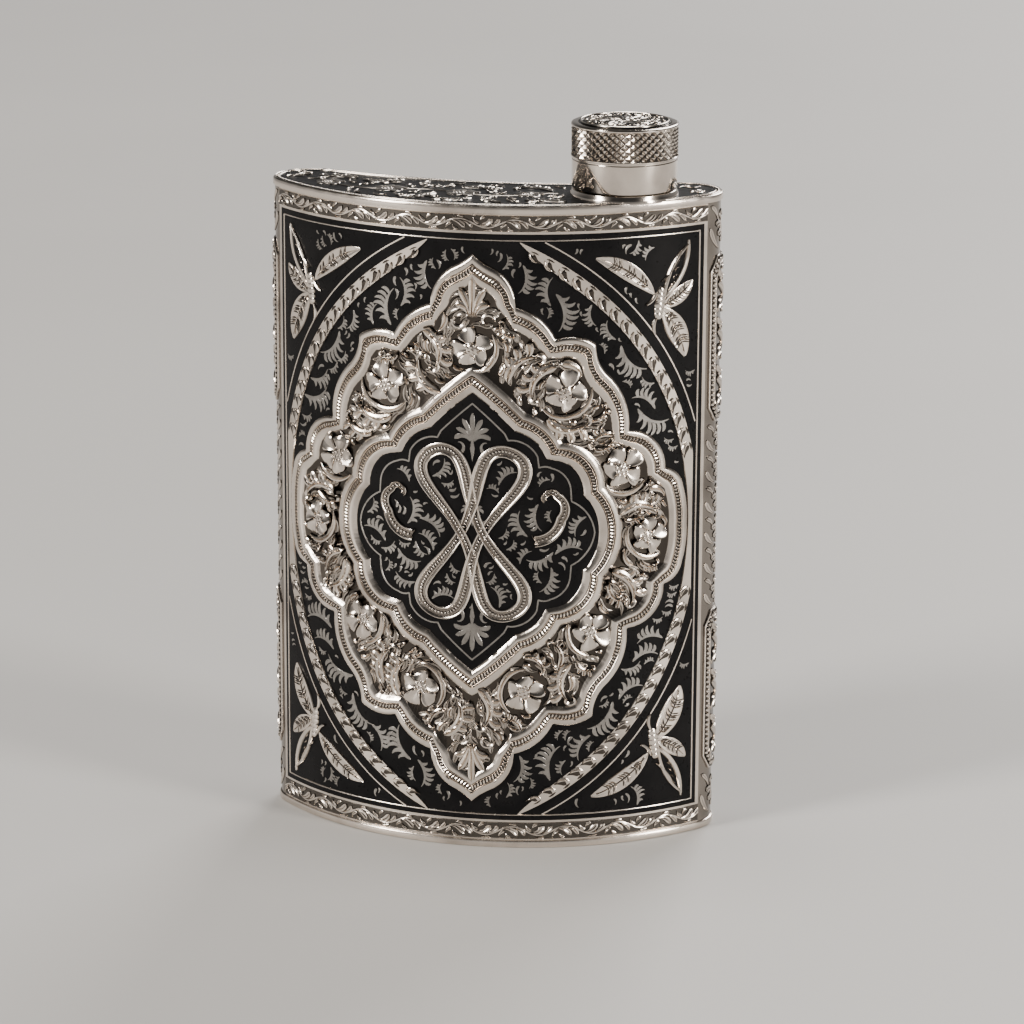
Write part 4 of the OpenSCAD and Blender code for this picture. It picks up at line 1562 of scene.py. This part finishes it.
def panel(place, z, name, node):
    """One raised panel: a cushioned plate, beaded borders, a blossom chain and leaves."""
    r = Relief(place)
    panel_plate(r, z)
    for k in (-1, 0, 1):
        at = np.array([0, z + k * 9.9])
        flower(r, at, 3.4, 0.5 + k, PANEL_TOP, 0.55)
        for m in (-1, 1):
            for a, b, sag, w in PANEL_LEAVES:
                leaf(r, at + [a[0] * m, a[1]], at + [b[0] * m, b[1]], sag * m, w, 0.52, PANEL_TOP)
            curl = spiral(at + [m * 5.2, 2.6], 0.8, 0.3, 0, m * 5, 12)
            r.stroke(curl, 0.45, 0.42, DOME, PANEL_TOP)
    for way in (-1, 1):
        for k in range(-2, 3):
            tip = (k * 2.3, z + way * (15.0 - abs(k) * 0.3))
            leaf(r, (k * 0.8, z + way * 13.2), tip, 0.1 * k, 1.1, 0.5, PANEL_TOP)
    r.build(name, CHASED, stands_for=[node])


# ---- top, neck and cap ----

# The top's running stem as an arc chain, and its blossoms (place and size), most of them on the stem.
TOP_STEM = [(-38.5, 6.0, 1.0), (-33.5, 2.5, -1.6), (-20.0, -2.0, 1.8), (-5.0, -3.6, -1.6), (8.8, -3.0, 0.8),
            (14.4, -0.4, 0)]
TOP_BLOSSOMS = ((-33.5, 2.5, 3.6), (-20.0, -2.0, 4.2), (-5.0, -3.6, 4.2), (8.8, -3.0, 3.4), (41.2, 7.2, 2.0))
# Points that a leaf on the top needs free, along and across it in lengths.
TOP_SPOTS = [(k, j) for k in (-0.4, -0.1, 0.2, 0.42) for j in (0, 0.2, 0.34)]


def top_free(pts):
    """True on the top plate, inside its cord and clear of the neck."""
    q = np.asarray(pts, float)
    x, y = q[:, 0], q[:, 1]
    edge = 2.0
    clear = (y > front_edge(x) + edge) & (y < back_edge(x) - edge) & (np.abs(x) < HALF_W - edge)
    return clear & (np.hypot(x - NECK_X, y - NECK_Y) > FLANGE_R + 0.8)


def top_ornament():
    """A corded edge, blossoms on a running stem and sparse scrolls on the dark top."""
    r = Relief(on_top)
    rope(r, plan(LIP - 1.0)[::-1], 0.0, 0.9, 0.2, 0.6)
    filler = Filler(top_free, (-HALF_W, FRONT_Y - FRONT_R), (HALF_W, END_Y + END_R))
    stem = chain(TOP_STEM, 12)
    r.stroke(stem, 0.75, 0.18, DOME, NIELLO_TOP)
    filler.block(stem, 0.5)
    for u, v, size in TOP_BLOSSOMS:
        flower(r, (u, v), size * 0.85, 0.6, NIELLO_TOP, ENGRAVED_H)
        filler.block([(u, v)], size)
    direction = swirl([(u, v) for u, v, _ in TOP_BLOSSOMS], 0.3)
    for size in (8.0, 6.0):
        for at, e, bend in filler.places(3000, direction, size, TOP_SPOTS, 0.11, 0.15):
            frond(r, at, e, size, bend, NIELLO_TOP, ENGRAVED_H)

    def draw(path, w):
        r.stroke(path, w, 0.22, LEAF, NIELLO_TOP)
    filler.pack(3000, 3.6, 1.0, direction, draw, 0.25, 0.5)
    r.build("top_engraving", ENGRAVED)


def turned(name, profile, material, body_name, stands=(), sharp=30, tone=1.0):
    """A body of revolution about the neck's axis, from (radius, height) points."""
    radius, z = np.asarray(profile, float).T[..., None]
    a = np.linspace(0, TAU, 160, endpoint=False)
    r = Relief(in_space)
    pts = np.stack([NECK_X + radius * np.cos(a), NECK_Y + radius * np.sin(a), z + 0 * a], -1)
    r.grid(pts, tone, wrap=True)
    r.build(name, material, body_name, stands, sharp)


# The neck's thread, which stands out from its core, and its pouring bore.
THREAD_PITCH = 2.4
THREAD_TURNS = 3.1
BORE_R = 6.0
CORE_R = NECK_OUT - 0.55


def neck():
    """The stepped flange and the neck's pipe."""
    f = FLANGE_R
    collar = [(NECK_OUT, -0.3), (f, -0.3), (f, 0.35), (f - 0.08, 0.5), (f - 0.3, 1.0),
              (CAP_R - 0.06, 1.2), (CAP_R - 0.2, 1.3), (NECK_OUT, 1.3)]
    turned("neck_collar", [(r, TOP + z) for r, z in collar], POLISHED, "flask", ["neck_flange"])
    low, high, edge = NECK_LOW[2], NECK_HIGH[2], 0.25
    pipe = [(BORE_R, low), (CORE_R, low), (CORE_R, high - edge), (CORE_R - edge, high), (BORE_R + edge, high),
            (BORE_R, high - edge), (BORE_R, low)]
    turned("neck_pipe", pipe, POLISHED, "flask", ["neck_tube"])
    neck_thread()


def neck_thread():
    """A helical ridge that fades out at both ends."""
    a = np.linspace(0, THREAD_TURNS * TAU, int(THREAD_TURNS * 72))
    z = TOP + 1.9 + a / TAU * THREAD_PITCH
    fade = np.clip(np.minimum(a, a[-1] - a) / 0.9, 0.02, 1)
    rows = []
    for lift, out in ((-0.55, 0.0), (-0.25, 0.5), (0.25, 0.5), (0.55, 0.0)):
        radius = CORE_R - 0.05 + out * fade
        rows.append(np.stack([NECK_X + radius * np.cos(a), NECK_Y + radius * np.sin(a), z + lift], -1))
    r = Relief(in_space)
    r.grid(np.stack(rows), 1.0)
    r.build("neck_thread", POLISHED)


def knurled(z0, z1, r0, r1):
    """Diamond knurling between two heights: rows of four-sided points round the neck's axis."""
    rows, count = 4, 38
    r = Relief(in_space)
    a = np.arange(2 * count) * TAU / (2 * count)
    z = np.linspace(z0, z1, 2 * rows + 1)[:, None]
    odd = (np.arange(2 * rows + 1)[:, None] + np.arange(2 * count)) % 2
    radius = r0 + (r1 - r0) * odd
    pts = np.stack([NECK_X + radius * np.cos(a), NECK_Y + radius * np.sin(a), z + 0 * a], -1)
    # The grooves take a low tone: painted shade and patina between the points.
    ids = r.add(pts, 0.1 + 0.9 * odd) + np.arange(odd.size).reshape(odd.shape)
    ids = np.concatenate([ids, ids[:, :1]], 1)
    p, q, s, t = ids[:-1, :-1], ids[:-1, 1:], ids[1:, 1:], ids[1:, :-1]
    even = odd[:-1] == 0
    for keep, cells in ((even, ((p, q, s), (p, s, t))), (~even, ((p, q, t), (q, s, t)))):
        for three in cells:
            r.faces[3].append(np.stack([c[keep] for c in three], -1))
    return r


def cap():
    """The screw cap: polished band, knurled band between bright rings, and engraved top."""
    z0, r, rk = CAP_Z, CAP_R, KNURL_R
    k0, k1 = KNURL_Z
    step, floor_z = r - 0.72, k1 - 0.6
    shell = [(0, SEAL_TOP), (INSERT_R, SEAL_TOP), (INSERT_R, z0 + 0.2), (INSERT_R + 0.2, z0), (r - 0.3, z0),
             (r - 0.08, z0 + 0.1), (r, z0 + 0.3), (r, k0 - 0.5), (r - 0.12, k0 - 0.3), (r - 0.12, k0 + 0.1),
             (r - 0.7, k0 + 0.1), (r - 0.7, floor_z), (DISC_R, floor_z), (0.01, floor_z)]
    turned("cap_body", shell, POLISHED, "cap", ["cap_shell"], sharp=28)
    band = knurled(k0 + 0.42, k1 - 0.62, rk - 0.5, rk - 0.02)
    band.build("cap_knurling", KNURLED, "cap", ["cap_knurl_ring"], sharp=12)
    lower = [(step, k0), (rk - 0.12, k0), (rk, k0 + 0.12), (rk, k0 + 0.3), (rk - 0.12, k0 + 0.42),
             (step, k0 + 0.44)]
    turned("cap_lower_lip", lower, POLISHED, "cap")
    upper = [(step, k1 - 0.64), (rk - 0.16, k1 - 0.62), (rk, k1 - 0.5), (rk, k1 - 0.32),
             (rk - 0.12, k1 - 0.12), (rk - 0.4, k1), (DISC_R + 0.1, k1), (DISC_R + 0.1, k1 - 0.64)]
    turned("cap_upper_lip", upper, POLISHED, "cap")
    cap_disc(k1 - 0.65, DISC_TOP - 0.34)


def cap_disc(low, face):
    """The disc in the cap's top: its plate, a dark field and a wheel of leaves."""
    disc = [(0, low), (DISC_R, low), (DISC_R, face - 0.22), (DISC_R - 0.12, face - 0.05),
            (DISC_R - 0.35, face), (0.001, face)]
    turned("cap_disc", disc, ENGRAVED, "cap", ["cap_top_disc"], tone=0.12)
    rim, top = DISC_R - 0.5, face + NIELLO_TOP
    dark = [(0.001, face - 0.08), (rim, face - 0.08), (rim, top), (0.001, top)]
    turned("cap_disc_field", dark, NIELLO, "cap")
    art = Relief(around_neck(top))
    rise = 0.3
    for k in range(12):
        e = heading(TAU * k / 12)
        n = left_of(e)
        art.stroke(arc(e * 1.1, e * 5.6 + n * 0.5, -0.35, 9), drop(9) * 2.1, rise, LEAF)
        art.stroke(arc(e * 6.6 - n * 1.2, e * 6.9 + n * 1.3, 0.4, 9), thorn(9) * 1.15, rise, LEAF)
        art.stroke(arc(e * 8.2 + n * 0.2, e * 7.5 + n * 1.9, 0.3, 7), lens(7) * 0.7, rise, LEAF)
        art.stroke(arc(e * 5.6 - n * 1.2, e * 6.4 - n * 1.6, 0.1, 5), lens(5) * 0.5, 0.26, LEAF)
    for radius, w in ((6.25, 0.2), (8.75, 0.35)):
        art.stroke(spiral((0, 0), radius, radius, 0, TAU, 97)[:-1], w, rise, loop=True)
    art.bump((0, 0), 1.0, 0.32, sides=20)
    art.build("cap_disc_engraving", ENGRAVED, "cap")


def kept_nodes():
    """Finishes for the CAD parts that are shown as they are."""
    for node, material in (("cap_insert", BRASS), ("cap_seal", RUBBER)):
        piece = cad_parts[node]
        for s in piece.material_slots:
            s.material = material


def main():
    """Builds the stage and then every piece; the order fixes the seeded ornament."""
    camera()
    floor()
    sky()
    lights()
    body()
    bands()
    frame_wire(on_front, "frame_wires", FRAME_U, 121, ["frame_lines"])
    oval()
    corners()
    sprigs(on_front, "front_sprigs", front_spandrel, FRAME_U, (44, 52), 9000)
    medallion(on_front, "", FRONT_NODES)
    centre(on_front, "", FRONT_NODES)
    back()
    side_ornament()
    top_ornament()
    neck()
    cap()
    kept_nodes()


main()
